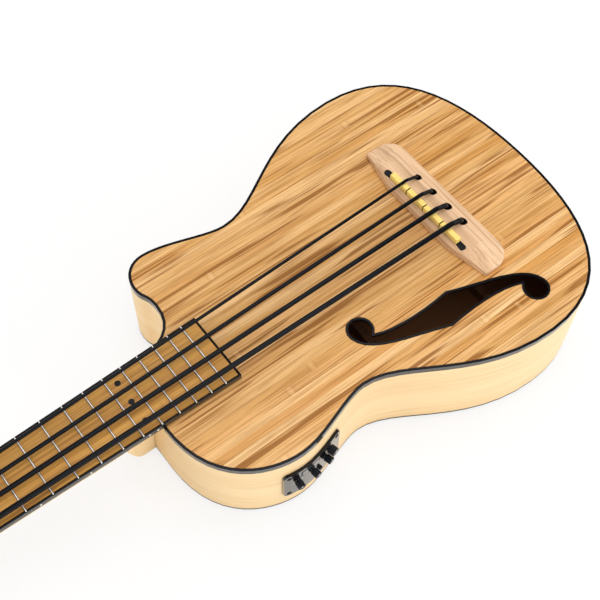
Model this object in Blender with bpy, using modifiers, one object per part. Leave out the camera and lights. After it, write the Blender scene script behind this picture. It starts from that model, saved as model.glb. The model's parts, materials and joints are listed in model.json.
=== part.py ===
"""Acoustic-electric bass ukulele with one cutaway, an f-hole and a side preamp.

Metres, +Z up. The instrument lies on its flat back. +X runs from the head to the tail,
the bass side is -Y and the cutaway is on the +Y side. The origin is on the back's flat
face, on the centre line, under the narrowest part of the waist. The body gets deeper
towards the tail, so the pieces are modelled with the soundboard level, and one tilted
empty that holds them all lays the back on the ground.
"""

import math

import bmesh
import bpy
import numpy as np
from mathutils import Vector

# Clearances
GAP = 0.0003
RUN_GAP = 0.0003

# Body
BODY_LENGTH = 0.3772
JOINT_DEPTH = 0.076
TAIL_DEPTH = 0.091
UPPER_BOUT = 0.2088
WAIST = 0.177
LOWER_BOUT = 0.2794
WAIST_FROM_JOINT = 0.1361
UPPER_FROM_JOINT = 0.0688
LOWER_FROM_JOINT = 0.2807
JOINT_WIDTH = 0.057
HORN_FROM_JOINT = 0.0465
HORN_Y = 0.0814
CUTAWAY_FROM_JOINT = 0.0515
CUTAWAY_Y = 0.0591
SOUNDBOARD_THICK = 0.003
BACK_THICK = 0.003
SIDE_THICK = 0.002
BINDING_WIDTH = 0.002
BINDING_TOP_HEIGHT = 0.005
BINDING_BACK_HEIGHT = 0.002
LINING_WIDTH = 0.006
LINING_HEIGHT = 0.012
LINING_SKIPS_BASS = 3  # outline points left out beside the neck block
LINING_SKIPS_TREBLE = 8

# Blocks and braces
NECK_BLOCK_LENGTH = 0.042
NECK_BLOCK_BASS_Y = 0.040
NECK_BLOCK_TREBLE_Y = 0.036
TAIL_BLOCK_WIDTH = 0.060
TAIL_BLOCK_LENGTH = 0.018
BRACE_WIDTH = 0.007
TOP_BRACE_HEIGHT = 0.010
TONE_BAR_HEIGHT = 0.0075
TONE_BAR_Y = 0.034
BACK_BRACE_HEIGHT = 0.011
BACK_STRIP_WIDTH = 0.020
BACK_STRIP_THICK = 0.002
BACK_STRIP_LIFT = 0.0001
BRIDGE_PLATE_THICK = 0.0025
BRIDGE_PLATE_LENGTH = 0.050
BRIDGE_PLATE_WIDTH = 0.116

# Scale, fretboard and frets
SCALE_LENGTH = 0.530
FRET_COUNT = 16
BOARD_END_FROM_JOINT = 0.068
BOARD_THICK = 0.0057
BOARD_NUT_WIDTH = 0.0465
BOARD_JOINT_WIDTH = 0.0578
BOARD_BINDING = 0.0018
FRET_WIDTH = 0.0015
FRET_CROWN = 0.0009
FRET_TANG_WIDTH = 0.0006
FRET_TANG_DEPTH = 0.0016

# Neck, heel and head
NECK_NUT_DEPTH = 0.0165
NECK_BODY_DEPTH = 0.0195
HEEL_LENGTH = 0.0145
HEEL_SWEEP = 0.028
HEEL_FLAT_SHARE = 0.24
HEEL_FLOOR = 0.001
NECK_INSET = 0.0010
HEAD_ANGLE = math.radians(14)
HEAD_LENGTH = 0.126
HEAD_THICK = 0.013
HEAD_WIDTH = 0.068
NUT_LENGTH = 0.005
NUT_PROUD = 0.0043

# Strings, from the treble to the bass
STRING_RADII = (0.00130, 0.00165, 0.00195, 0.00215)
STRING_NUT_PITCH = 0.0120
STRING_SADDLE_PITCH = 0.0180
STRING_OVER_NUT = 0.0018
STRING_OVER_SADDLE = 0.0078
WIND_TURNS = 1.6
WIND_GAP = 0.0005
LOOP_POINTS = 24

# Bridge and saddle
SADDLE_COMPENSATION = 0.0050
BRIDGE_LENGTH = 0.146
BRIDGE_HEIGHT = 0.0085
BRIDGE_FRONT = 0.0065
BRIDGE_BACK = 0.0292
BRIDGE_TIP_FROM_FRONT = 0.0075
BRIDGE_TIP_LENGTH = 0.0140
BRIDGE_FRONT_HALF = 0.036
BRIDGE_CORNER_REACH = 0.018
BRIDGE_TIP_HEIGHT = 0.0035
BRIDGE_FLAT_Y = 0.050
BRIDGE_FRONT_CHAMFER = 0.0026
BRIDGE_SLOPE_LENGTH = 0.0125
BRIDGE_SLOPE_DROP = 0.0046
SADDLE_LENGTH = 0.080
SADDLE_WIDTH = 0.0046
SADDLE_SLOT_LENGTH = 0.0965
SADDLE_SLOT_DEPTH = 0.0062
SADDLE_SLOT_EASE = 0.0005
SADDLE_SLIT = 0.0008
SADDLE_SLIT_DEPTH = 0.0030
PICKUP_THICK = 0.0014
SADDLE_EASE = 0.0012
STRING_HOLE_BACK = 0.0165
STRING_HOLE_EASE = 0.0007
COUNTERSINK_EASE = 0.0019
COUNTERSINK_DEPTH = 0.0045
KNOT_SWELL = 1.8

# Sound hole
F_HOLE_FROM_JOINT = 0.2293
F_HOLE_Y = -0.0775
F_LOBE_X = 0.0663
F_LOBE_Y = -0.0266
F_LOBE_RADIUS = 0.0112
F_CORNER_X = 0.0078
F_CORNER_Y = 0.0133
F_BINDING = 0.0016
F_BINDING_PROUD = 0.0004

# Preamp on the bass side
PANEL_FROM_JOINT = 0.079
PANEL_BELOW_TOP = 0.0410
PANEL_LENGTH = 0.057
PANEL_HEIGHT = 0.036
PANEL_THICK = 0.0024
PANEL_CORNER = 0.004
BOX_MARGIN = 0.003
BOX_DEPTH = 0.034
KNOB_RADIUS = 0.0031
KNOB_LENGTH = 0.0056
KNOB_SHAFT_RADIUS = 0.0021
KNOB_SHAFT_LENGTH = 0.0120
KNOB_LIFT = 0.0006
LEVEL_KNOB_RADIUS = 0.0037
TONE_KNOB_Z = 0.0020
TONE_KNOB_PITCH = 0.0135
TONE_KNOB_START = -0.0168
LEVEL_KNOB_X = 0.0143
LEVEL_KNOB_Z = 0.0103
BUTTON_X = 0.0035
BUTTON_Z = -0.0045
BUTTON_RADIUS = 0.0018
BUTTON_PROUD = 0.0022
BUTTON_TRAVEL = 0.0012
BUTTON_DEPTH = 0.0060

# Jack at the tail
JACK_RADIUS = 0.0060
JACK_FLANGE_RADIUS = 0.0085
JACK_HEAD_RADIUS = 0.0075
JACK_NECK_RADIUS = 0.0055
JACK_PROUD = 0.0110
JACK_INSIDE = 0.030
JACK_SOCKET_RADIUS = 0.0033
JACK_SOCKET_DEPTH = 0.028

# Tuning machines
TUNER_NEAR = 0.036
TUNER_PITCH = 0.050
TUNER_Y = 0.020
POST_RADIUS = 0.0036
POST_WAIST_RADIUS = 0.0030
POST_HEIGHT = 0.0185
WIND_START = 0.0048
WHEEL_TEETH = 15
WHEEL_RADIUS = 0.0072
WHEEL_ROOT = 0.0060
WHEEL_THICK = 0.0050
WORM_RADIUS = 0.0028
WORM_SHAFT_RADIUS = 0.0020
WORM_DROP = 0.0050
HOUSING_WALL = 0.0016
HOUSING_DEPTH = 0.0110
HOUSING_OUT = 0.0130
COLLAR_RADIUS = 0.0036
COLLAR_LENGTH = 0.0040
BUTTON_GAP = 0.0020
KEY_BUTTON_LENGTH = 0.0130
KEY_BUTTON_WIDTH = 0.0170
KEY_BUTTON_THICK = 0.0065

# Levels and places that follow from the sizes above
JOINT_X = -WAIST_FROM_JOINT
NUT_X = JOINT_X - SCALE_LENGTH / 2
TAIL_X = JOINT_X + BODY_LENGTH
BOARD_END_X = JOINT_X + BOARD_END_FROM_JOINT
SADDLE_X = NUT_X + SCALE_LENGTH + SADDLE_COMPENSATION
STRING_HOLE_X = SADDLE_X + STRING_HOLE_BACK
TAPER = (TAIL_DEPTH - JOINT_DEPTH) / BODY_LENGTH
TOP_Z = JOINT_DEPTH + TAPER * WAIST_FROM_JOINT
MIDDLE_Z = TOP_Z / 2
TOP_UNDER_Z = TOP_Z - SOUNDBOARD_THICK
BACK_OVER_Z = BACK_THICK
INNER_LOW_Z = BACK_OVER_Z + GAP
INNER_HIGH_Z = TOP_UNDER_Z - GAP
LINING_INSET = SIDE_THICK + GAP
BLOCK_INSET = LINING_INSET + LINING_WIDTH + GAP
BOARD_LOW_Z = TOP_Z + GAP
BOARD_TOP_Z = BOARD_LOW_Z + BOARD_THICK
BRIDGE_LOW_Z = TOP_Z + GAP
BRIDGE_TOP_Z = BRIDGE_LOW_Z + BRIDGE_HEIGHT
SADDLE_SEAT_Z = BRIDGE_TOP_Z - SADDLE_SLOT_DEPTH
SADDLE_TOP_Z = BOARD_TOP_Z + STRING_OVER_SADDLE - GAP
HEAD_X = NUT_X - NUT_LENGTH
F_HOLE_X = JOINT_X + F_HOLE_FROM_JOINT
PANEL_X = JOINT_X + PANEL_FROM_JOINT
PANEL_Z = TOP_Z - PANEL_BELOW_TOP
JACK_Z = TOP_Z - TAIL_DEPTH / 2
TUNERS = (
    (TUNER_NEAR, TUNER_Y),
    (TUNER_NEAR + TUNER_PITCH, TUNER_Y),
    (TUNER_NEAR + TUNER_PITCH, -TUNER_Y),
    (TUNER_NEAR, -TUNER_Y),
)

# Finishes: colour, roughness and metallic
TOP_BAMBOO = ((0.72, 0.46, 0.20), 0.35, 0.0)
PALE_BAMBOO = ((0.86, 0.70, 0.42), 0.40, 0.0)
SPRUCE = ((0.78, 0.62, 0.40), 0.70, 0.0)
BOARD_BAMBOO = ((0.50, 0.28, 0.12), 0.50, 0.0)
BRIDGE_WOOD = ((0.72, 0.52, 0.36), 0.55, 0.0)
BLACK_PLASTIC = ((0.02, 0.02, 0.02), 0.30, 0.0)
BLACK_RUBBER = ((0.02, 0.02, 0.022), 0.50, 0.0)
BLACK_METAL = ((0.03, 0.03, 0.03), 0.30, 1.0)
STEEL = ((0.62, 0.62, 0.62), 0.25, 1.0)
BRASS = ((0.70, 0.52, 0.22), 0.35, 1.0)
BONE = ((0.88, 0.72, 0.32), 0.45, 0.0)


def clear_scene():
    for old in list(bpy.data.objects):
        bpy.data.objects.remove(old, do_unlink=True)


def new_collection(name):
    made = bpy.data.collections.new(name)
    bpy.context.scene.collection.children.link(made)
    return made


clear_scene()
PARTS = new_collection("bass_ukulele")
CUTTERS = new_collection("cutters")
CUTTERS.hide_render = True
LAID = bpy.data.objects.new("laid_on_back", None)
LAID.rotation_euler = (0, -math.atan(TAPER), 0)
PARTS.objects.link(LAID)


def finish(obj, look):
    colour, roughness, metallic = look
    made = bpy.data.materials.new(obj.name)
    made.use_nodes = True
    shader = made.node_tree.nodes["Principled BSDF"]
    shader.inputs["Base Color"].default_value = (*colour, 1)
    shader.inputs["Roughness"].default_value = roughness
    shader.inputs["Metallic"].default_value = metallic
    obj.data.materials.clear()
    obj.data.materials.append(made)


def add_object(name, mesh, look):
    """Links a mesh as a part with a finish, or as a hidden cutter without one."""
    obj = bpy.data.objects.new(name, mesh)
    obj.parent = LAID
    if look is None:
        CUTTERS.objects.link(obj)
        obj.hide_render = True
        obj.display_type = "WIRE"
    else:
        PARTS.objects.link(obj)
        finish(obj, look)
    return obj


def smooth(obj, degrees=35):
    obj.data.shade_smooth()
    obj.data.set_sharp_from_angle(angle=math.radians(degrees))


def boolean(target, tool, operation="DIFFERENCE"):
    step = target.modifiers.new(operation.lower(), "BOOLEAN")
    step.operation = operation
    step.object = tool
    step.solver = "EXACT"
    return step


def bevel(obj, width, segments=2, degrees=30):
    step = obj.modifiers.new("rounding", "BEVEL")
    step.width = width
    step.segments = segments
    step.limit_method = "ANGLE"
    step.angle_limit = math.radians(degrees)
    return step


def plate(name, loops, low, high, look=None):
    """A flat outline, with any holes as further loops, from one level to another."""
    data = bpy.data.curves.new(name, "CURVE")
    data.dimensions = "2D"
    data.fill_mode = "BOTH"
    data.extrude = (high - low) / 2
    for loop in loops:
        spline = data.splines.new("POLY")
        spline.points.add(len(loop) - 1)
        for point, (x, y) in zip(spline.points, loop):
            point.co = (x, y, 0, 1)
        spline.use_cyclic_u = True
    flat = bpy.data.objects.new(name + "_outline", data)
    flat.location.z = (low + high) / 2
    bpy.context.scene.collection.objects.link(flat)
    return meshed(name, flat, look)


def meshed(name, curve, look):
    """Turns a curve object into a welded mesh object in the same place."""
    bpy.context.view_layer.update()
    evaluated = curve.evaluated_get(bpy.context.evaluated_depsgraph_get())
    mesh = bpy.data.meshes.new_from_object(evaluated)
    mesh.transform(curve.matrix_world)
    weld = bmesh.new()
    weld.from_mesh(mesh)
    bmesh.ops.remove_doubles(weld, verts=weld.verts, dist=1e-6)
    bmesh.ops.recalc_face_normals(weld, faces=weld.faces)
    weld.to_mesh(mesh)
    weld.free()
    bpy.data.objects.remove(curve, do_unlink=True)
    return add_object(name, mesh, look)


def box(name, low, high, look=None):
    """A box between two corners."""
    shape = bmesh.new()
    bmesh.ops.create_cube(shape, size=1)
    for vert in shape.verts:
        for axis in range(3):
            vert.co[axis] = low[axis] if vert.co[axis] < 0 else high[axis]
    mesh = bpy.data.meshes.new(name)
    shape.to_mesh(mesh)
    shape.free()
    return add_object(name, mesh, look)


def rod(name, start, end, radius, sides=16, look=None):
    """A cylinder from one point to another."""
    start = Vector(start)
    end = Vector(end)
    shape = bmesh.new()
    bmesh.ops.create_cone(
        shape,
        cap_ends=True,
        segments=sides,
        radius1=radius,
        radius2=radius,
        depth=(end - start).length,
    )
    mesh = bpy.data.meshes.new(name)
    shape.to_mesh(mesh)
    shape.free()
    obj = add_object(name, mesh, look)
    obj.location = (start + end) / 2
    obj.rotation_euler = (end - start).to_track_quat("Z", "Y").to_euler()
    return obj


def turned(name, profile, look=None, steps=20):
    """A shape turned about its own Z: a profile of radius and height, from top to bottom."""
    mesh = bpy.data.meshes.new(name)
    points = [(radius, 0, height) for radius, height in profile]
    mesh.from_pydata(points, [(i, i + 1) for i in range(len(points) - 1)], [])
    obj = add_object(name, mesh, look)
    screw = obj.modifiers.new("turning", "SCREW")
    screw.steps = steps
    screw.render_steps = steps
    screw.use_merge_vertices = True
    screw.merge_threshold = 0.00001
    screw.use_smooth_shade = False
    return obj


def lean(obj, below=math.inf):
    """Slopes a piece with the back, or only its points under a level."""
    for vert in obj.data.vertices:
        if vert.co.z < below:
            vert.co.z -= TAPER * vert.co.x
    return obj


def bezier(start, start_pull, end_pull, end, steps):
    """Points on a cubic from its start, its end left out."""
    start, end = np.array(start), np.array(end)
    near = start + start_pull
    far = end + end_pull
    share = (np.arange(steps) / steps)[:, None]
    rest = 1 - share
    return rest**3 * start + 3 * rest**2 * share * near + 3 * rest * share**2 * far + share**3 * end


def unit(rows):
    return rows / np.linalg.norm(rows, axis=1)[:, None]


def left_of(rows):
    return np.column_stack([-rows[:, 1], rows[:, 0]])


def inset(loop, distance):
    """Moves a counterclockwise loop inwards, with its corners mitred."""
    before = left_of(unit(loop - np.roll(loop, 1, axis=0)))
    after = left_of(unit(np.roll(loop, -1, axis=0) - loop))
    spread = np.maximum(1 + (before * after).sum(axis=1), 0.62)
    return loop + (before + after) * distance / spread[:, None]


def offset_path(path, distance):
    """Moves an open path to its left."""
    ahead = np.gradient(path, axis=0)
    return path + left_of(unit(ahead)) * distance


def strip(outer, inner):
    """A closed outline between two open paths with the same number of points."""
    return np.vstack([outer, inner[::-1]])


def circle(x, y, radius, count):
    turn = np.arange(count) * 2 * math.pi / count
    return np.column_stack([x + radius * np.cos(turn), y + radius * np.sin(turn)])


def smooth_path(points, steps):
    """A Catmull-Rom curve through points, with its ends kept."""
    points = np.array(points)
    ends = np.vstack([2 * points[0] - points[1], points, 2 * points[-1] - points[-2]])
    rows = []
    for i in range(1, len(ends) - 2):
        a, b, c, d = ends[i - 1 : i + 3]
        for share in np.arange(steps) / steps:
            curve = 2 * b + (c - a) * share + (2 * a - 5 * b + 4 * c - d) * share**2
            rows.append((curve + (3 * b - a - 3 * c + d) * share**3) / 2)
    return np.array(rows + [points[-1]])


def body_half(side):
    """The body's edge from the joint's centre to the tail's centre, on one side."""
    upper = (JOINT_X + UPPER_FROM_JOINT, side * UPPER_BOUT / 2)
    waist = (0.0, side * WAIST / 2)
    lower = (JOINT_X + LOWER_FROM_JOINT, side * LOWER_BOUT / 2)
    tail = (TAIL_X, 0.0)
    corner = (JOINT_X, side * JOINT_WIDTH / 2)
    centre = [(JOINT_X, 0.0)]
    if side < 0:
        front = [bezier(corner, (0, -0.0589), (-0.0264, 0), upper, 14)]
    else:
        cutaway = (JOINT_X + CUTAWAY_FROM_JOINT, CUTAWAY_Y)
        horn = (JOINT_X + HORN_FROM_JOINT, HORN_Y)
        front = [
            bezier(corner, (0.0159, 0), (0, -0.0336), cutaway, 11),
            bezier(cutaway, (0, 0.0130), (0, -0.0109), horn, 6),
            bezier(horn, (0, 0.0127), (-0.0132, 0), upper, 9),
        ]
    rest = [
        bezier(upper, (0.0215, 0), (-0.0169, 0), waist, 10),
        bezier(waist, (0.0365, 0), (-0.0736, 0), lower, 12),
        bezier(lower, (0.0785, 0), (0, side * 0.0695), tail, 15),
        [tail],
    ]
    return np.vstack([centre, *front, *rest])


BASS_EDGE = body_half(-1)
TREBLE_EDGE = body_half(1)
OUTLINE = np.vstack([BASS_EDGE, TREBLE_EDGE[-2:0:-1]])


def open_run(loop, edge):
    """The stretch of an inset outline that follows one half edge, joint to tail."""
    if edge is BASS_EDGE:
        return loop[: len(BASS_EDGE)].copy()
    back = np.vstack([loop[len(BASS_EDGE) - 1 :], loop[:1]])
    return back[::-1].copy()


def tail_inner_x(y, distance):
    """Where an inset outline crosses a given y near the tail."""
    loop = inset(OUTLINE, distance)
    near_tail = loop[loop[:, 0] > TAIL_X - 0.05]
    near_tail = near_tail[np.argsort(near_tail[:, 1])]
    return np.interp(y, near_tail[:, 1], near_tail[:, 0])


def half_span(x, distance):
    """Half the inner width of the body for a brace centred at x, on its bass side."""
    loop = open_run(inset(OUTLINE, distance), BASS_EDGE)[1:-1]
    sides = (x - BRACE_WIDTH / 2, x, x + BRACE_WIDTH / 2)
    return float(np.interp(sides, loop[:, 0], -loop[:, 1]).min())


def f_hole_loop():
    """The f-hole's outline: half of it by curves and an arc, and the rest by a half turn."""
    corner = (F_CORNER_X, F_CORNER_Y)
    top_turn = math.radians(10)
    inner_turn = math.radians(-232)
    lobe = np.array([F_LOBE_X, F_LOBE_Y])
    top = lobe + F_LOBE_RADIUS * np.array([math.cos(top_turn), math.sin(top_turn)])
    inner = lobe + F_LOBE_RADIUS * np.array([math.cos(inner_turn), math.sin(inner_turn)])
    along = np.array([math.sin(top_turn), -math.cos(top_turn)])
    neck = bezier(-inner, (0.012, -0.006), (-0.028, -0.003), corner, 7)
    blade = bezier(corner, (0.030, -0.012), -0.021 * along, top, 10)
    turns = np.linspace(top_turn, inner_turn, 13)[:-1]
    arc = lobe + F_LOBE_RADIUS * np.column_stack([np.cos(turns), np.sin(turns)])
    half = np.vstack([neck, blade, arc])
    loop = np.vstack([half, -half])[::-1]
    return loop + (F_HOLE_X, F_HOLE_Y)


def fret_x(number):
    return NUT_X + SCALE_LENGTH * (1 - 2 ** (-number / 12))


def board_half(x):
    """Half the fretboard's full width at x."""
    slope = (BOARD_JOINT_WIDTH - BOARD_NUT_WIDTH) / (JOINT_X - NUT_X)
    return (BOARD_NUT_WIDTH + slope * (x - NUT_X)) / 2


def string_y(index, pitch):
    return (1.5 - index) * pitch


def make_plates():
    top_loop = inset(OUTLINE, BINDING_WIDTH + GAP)
    holes = [
        circle(STRING_HOLE_X, string_y(i, STRING_SADDLE_PITCH), radius + STRING_HOLE_EASE, 10)
        for i, radius in enumerate(STRING_RADII)
    ]
    loops = [top_loop, f_hole_loop(), *holes]
    plate("soundboard", loops, TOP_UNDER_Z, TOP_Z, TOP_BAMBOO)
    lean(plate("back", [top_loop], 0, BACK_OVER_Z, PALE_BAMBOO))


def make_bindings():
    loops = [OUTLINE, inset(OUTLINE, BINDING_WIDTH)]
    plate("binding_top", loops, TOP_Z - BINDING_TOP_HEIGHT, TOP_Z, BLACK_PLASTIC)
    lean(plate("binding_back", loops, 0, BINDING_BACK_HEIGHT, BLACK_PLASTIC))
    hole = f_hole_loop()
    loops = [inset(hole, GAP), inset(hole, GAP + F_BINDING)]
    plate("f_hole_binding", loops, TOP_UNDER_Z, TOP_Z + F_BINDING_PROUD, BLACK_PLASTIC)


def make_sides():
    low = BINDING_BACK_HEIGHT + GAP
    high = TOP_Z - BINDING_TOP_HEIGHT - GAP
    inner_loop = inset(OUTLINE, SIDE_THICK)
    jack_hole = rod(
        "jack_hole",
        (TAIL_X - TAIL_BLOCK_LENGTH * 2, 0, JACK_Z),
        (TAIL_X + 0.01, 0, JACK_Z),
        JACK_RADIUS + RUN_GAP,
        sides=20,
    )
    for name, edge, side in (("side_bass", BASS_EDGE, -1), ("side_treble", TREBLE_EDGE, 1)):
        outer = open_run(OUTLINE, edge)
        inner = open_run(inner_loop, edge)
        for run in (outer, inner):
            run[[0, -1], 1] = side * GAP / 2
        made = plate(name, [strip(outer, inner)], low, high, PALE_BAMBOO)
        lean(made, MIDDLE_Z)
        boolean(made, jack_hole)
    return jack_hole


def make_linings():
    """Kerfed strips along the inner edges, open only at the neck block."""
    outer = inset(OUTLINE, LINING_INSET)
    inner = inset(OUTLINE, LINING_INSET + LINING_WIDTH)
    last = len(OUTLINE) - LINING_SKIPS_TREBLE
    kept = slice(LINING_SKIPS_BASS, last)
    ring = strip(outer[kept], inner[kept])
    lean(plate("lining_back", [ring], INNER_LOW_Z, INNER_LOW_Z + LINING_HEIGHT, SPRUCE))
    plate("lining_top", [ring], INNER_HIGH_Z - LINING_HEIGHT, INNER_HIGH_Z, SPRUCE)


def make_blocks(jack_hole):
    neck_block = box(
        "neck_block",
        (JOINT_X, -NECK_BLOCK_BASS_Y, INNER_LOW_Z),
        (JOINT_X + LINING_INSET + NECK_BLOCK_LENGTH, NECK_BLOCK_TREBLE_Y, INNER_HIGH_Z),
        SPRUCE,
    )
    lean(neck_block, MIDDLE_Z)
    room = plate("neck_block_room", [inset(OUTLINE, LINING_INSET)], 0, TOP_Z)
    boolean(neck_block, room, "INTERSECT")
    half = TAIL_BLOCK_WIDTH / 2
    face = TAIL_X - LINING_INSET - TAIL_BLOCK_LENGTH
    lining = LINING_HEIGHT + GAP
    blocks = []
    for name, distance, low, high, look in (
        ("tail_block", BLOCK_INSET, INNER_LOW_Z, INNER_HIGH_Z, SPRUCE),
        ("tail_block_belly", LINING_INSET, INNER_LOW_Z + lining, INNER_HIGH_Z - lining, None),
    ):
        rows = np.linspace(-half, half, 5)
        curve = np.column_stack([tail_inner_x(rows, distance), rows])
        loop = np.vstack([curve, [(face, half), (face, -half)]])
        blocks.append(lean(plate(name, [loop], low, high, look), MIDDLE_Z))
    tail_block, belly = blocks
    boolean(tail_block, belly, "UNION")
    boolean(tail_block, jack_hole)


def make_top_bracing():
    """Two cross bars, two tone bars and the bridge plate, glued up as one frame."""
    distance = BLOCK_INSET
    ends = (JOINT_X + 0.118, JOINT_X + 0.338)
    frame = None
    for number, x in enumerate(ends):
        span = half_span(x, distance)
        look = SPRUCE if number == 0 else None
        bar = box(
            "top_bracing" if number == 0 else f"top_bar_{number}",
            (x - BRACE_WIDTH / 2, -span, INNER_HIGH_Z - TOP_BRACE_HEIGHT),
            (x + BRACE_WIDTH / 2, span, INNER_HIGH_Z),
            look,
        )
        if frame is None:
            frame = bar
        else:
            tail_bar = bar
    for side in (-1, 1):
        y = side * TONE_BAR_Y
        tone_bar = box(
            f"tone_bar_{'treble' if side > 0 else 'bass'}",
            (ends[0], y - BRACE_WIDTH / 2, INNER_HIGH_Z - TONE_BAR_HEIGHT),
            (ends[1], y + BRACE_WIDTH / 2, INNER_HIGH_Z),
        )
        boolean(frame, tone_bar, "UNION")
    boolean(frame, tail_bar, "UNION")
    plate_x = STRING_HOLE_X - BRIDGE_PLATE_LENGTH / 2
    bridge_plate = box(
        "bridge_plate",
        (plate_x, -BRIDGE_PLATE_WIDTH / 2, INNER_HIGH_Z - BRIDGE_PLATE_THICK),
        (plate_x + BRIDGE_PLATE_LENGTH, BRIDGE_PLATE_WIDTH / 2, INNER_HIGH_Z),
    )
    boolean(frame, bridge_plate, "UNION")
    for i, radius in enumerate(STRING_RADII):
        y = string_y(i, STRING_SADDLE_PITCH)
        hole = rod(
            f"plate_hole_{i + 1}",
            (STRING_HOLE_X, y, INNER_HIGH_Z - 0.02),
            (STRING_HOLE_X, y, INNER_HIGH_Z + 0.01),
            radius + STRING_HOLE_EASE,
            sides=10,
        )
        boolean(frame, hole)


def make_back_bracing():
    """A strip over the back's seam with three ladder braces across it."""
    start = JOINT_X + LINING_INSET + NECK_BLOCK_LENGTH + GAP
    end = TAIL_X - LINING_INSET - TAIL_BLOCK_LENGTH - GAP
    half = BACK_STRIP_WIDTH / 2
    seam = box(
        "back_bracing",
        (start, -half, INNER_LOW_Z + BACK_STRIP_LIFT),
        (end, half, INNER_LOW_Z + BACK_STRIP_THICK),
        SPRUCE,
    )
    lean(seam)
    for number, reach in enumerate((0.100, 0.192, 0.300)):
        x = JOINT_X + reach
        span = half_span(x, BLOCK_INSET)
        ladder = box(
            f"back_ladder_{number + 1}",
            (x - BRACE_WIDTH / 2, -span, INNER_LOW_Z),
            (x + BRACE_WIDTH / 2, span, INNER_LOW_Z + BACK_BRACE_HEIGHT),
        )
        boolean(seam, lean(ladder), "UNION")


def head_point(along, across, up):
    """A point on the head: along it from the nut, across it, and up from its face."""
    sine = math.sin(HEAD_ANGLE)
    cosine = math.cos(HEAD_ANGLE)
    x = HEAD_X - along * cosine - up * sine
    z = TOP_Z - along * sine + up * cosine
    return np.array([x, across, z])


def rounded_section(half, depth, power, count):
    """Half a superellipse under a flat top, as rows of y and depth."""
    turn = np.linspace(0, math.pi, count)
    cosine = np.cos(turn)
    cosine[np.abs(cosine) < 1e-9] = 0
    y = half * np.sign(cosine) * np.abs(cosine) ** power
    down = depth * np.clip(np.sin(turn), 0, 1) ** power
    down[[0, -1]] = 0
    return np.column_stack([y, down])


def heel_section(half, depth, count):
    """The heel's outline: it draws in quickly below the fretboard to a narrow flat cap."""
    flat = count // 3
    wall = (count - flat) // 2 + 1
    share = np.linspace(0, 1, wall)
    width = HEEL_FLAT_SHARE + (1 - HEEL_FLAT_SHARE) * (1 - share) ** 2.2
    left = np.column_stack([half * width, depth * share])
    cap_y = np.linspace(half * HEEL_FLAT_SHARE, -half * HEEL_FLAT_SHARE, count - 2 * wall + 2)
    cap = np.column_stack([cap_y, np.full(len(cap_y), depth)])[1:-1]
    right = left[::-1] * (-1, 1)
    return np.vstack([left, cap, right])


def neck_sections():
    """Rings of points from the heel's face to the head's tip."""
    count = 15
    rings = []
    root = JOINT_X - GAP
    full = JOINT_DEPTH - HEEL_FLOOR
    sweep = np.array([1.0, 0.93, 0.80, 0.66, 0.50, 0.32, 0.16, 0.0])
    depth_share = np.array([1.0, 0.99, 0.93, 0.76, 0.50, 0.24, 0.07, 0.0])
    stations = [(root, full, 1.0)]
    for reach, share in zip(1 - sweep, depth_share):
        x = root - HEEL_LENGTH + 0.004 - reach * HEEL_SWEEP
        depth = NECK_BODY_DEPTH + (full - NECK_BODY_DEPTH) * share
        stations.append((x, depth, share))
    stations.append(((NUT_X + JOINT_X) / 2, (NECK_NUT_DEPTH + NECK_BODY_DEPTH) / 2, 0.0))
    stations.append((HEAD_X, NECK_NUT_DEPTH, 0.0))
    for x, depth, heel in stations:
        half = board_half(max(x, NUT_X)) - NECK_INSET
        plain = rounded_section(half, depth, 1.0, count)
        drawn = heel_section(half, depth, count)
        section = plain * (1 - heel) + drawn * heel
        rings.append([(x, y, TOP_Z - down) for y, down in section])
    spread = (
        (0.006, 0.36, 0.90, 1.00),
        (0.014, 0.42, 0.62, 0.98),
        (0.024, 0.47, 0.30, 1.0),
        (0.036, 0.50, 0.14, 1.0),
        (0.062, 0.495, 0.12, 1.0),
        (0.090, 0.49, 0.12, 1.0),
        (0.106, 0.47, 0.12, 1.0),
        (0.117, 0.40, 0.12, 1.0),
        (0.123, 0.31, 0.12, 1.0),
        (0.126, 0.20, 0.12, 1.0),
    )
    for along, width, power, thick in spread:
        reach = along * HEAD_LENGTH / 0.126
        section = rounded_section(HEAD_WIDTH * width, HEAD_THICK * thick, power, count)
        rings.append([head_point(reach, y, -down) for y, down in section])
    return rings


def make_neck():
    rings = neck_sections()
    shape = bmesh.new()
    rows = [[shape.verts.new(point) for point in ring] for ring in rings]
    for near, far in zip(rows, rows[1:]):
        count = len(near)
        for k in range(count):
            after = (k + 1) % count
            shape.faces.new((near[k], near[after], far[after], far[k]))
    shape.faces.new(rows[0])
    shape.faces.new(rows[-1])
    bmesh.ops.recalc_face_normals(shape, faces=shape.faces)
    mesh = bpy.data.meshes.new("neck")
    shape.to_mesh(mesh)
    shape.free()
    neck = add_object("neck", mesh, PALE_BAMBOO)
    for number, (along, across) in enumerate(TUNERS):
        hole = rod(
            f"post_hole_{number + 1}",
            head_point(along, across, 0.01),
            head_point(along, across, -HEAD_THICK - 0.01),
            POST_RADIUS + RUN_GAP,
            sides=16,
        )
        boolean(neck, hole)


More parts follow.
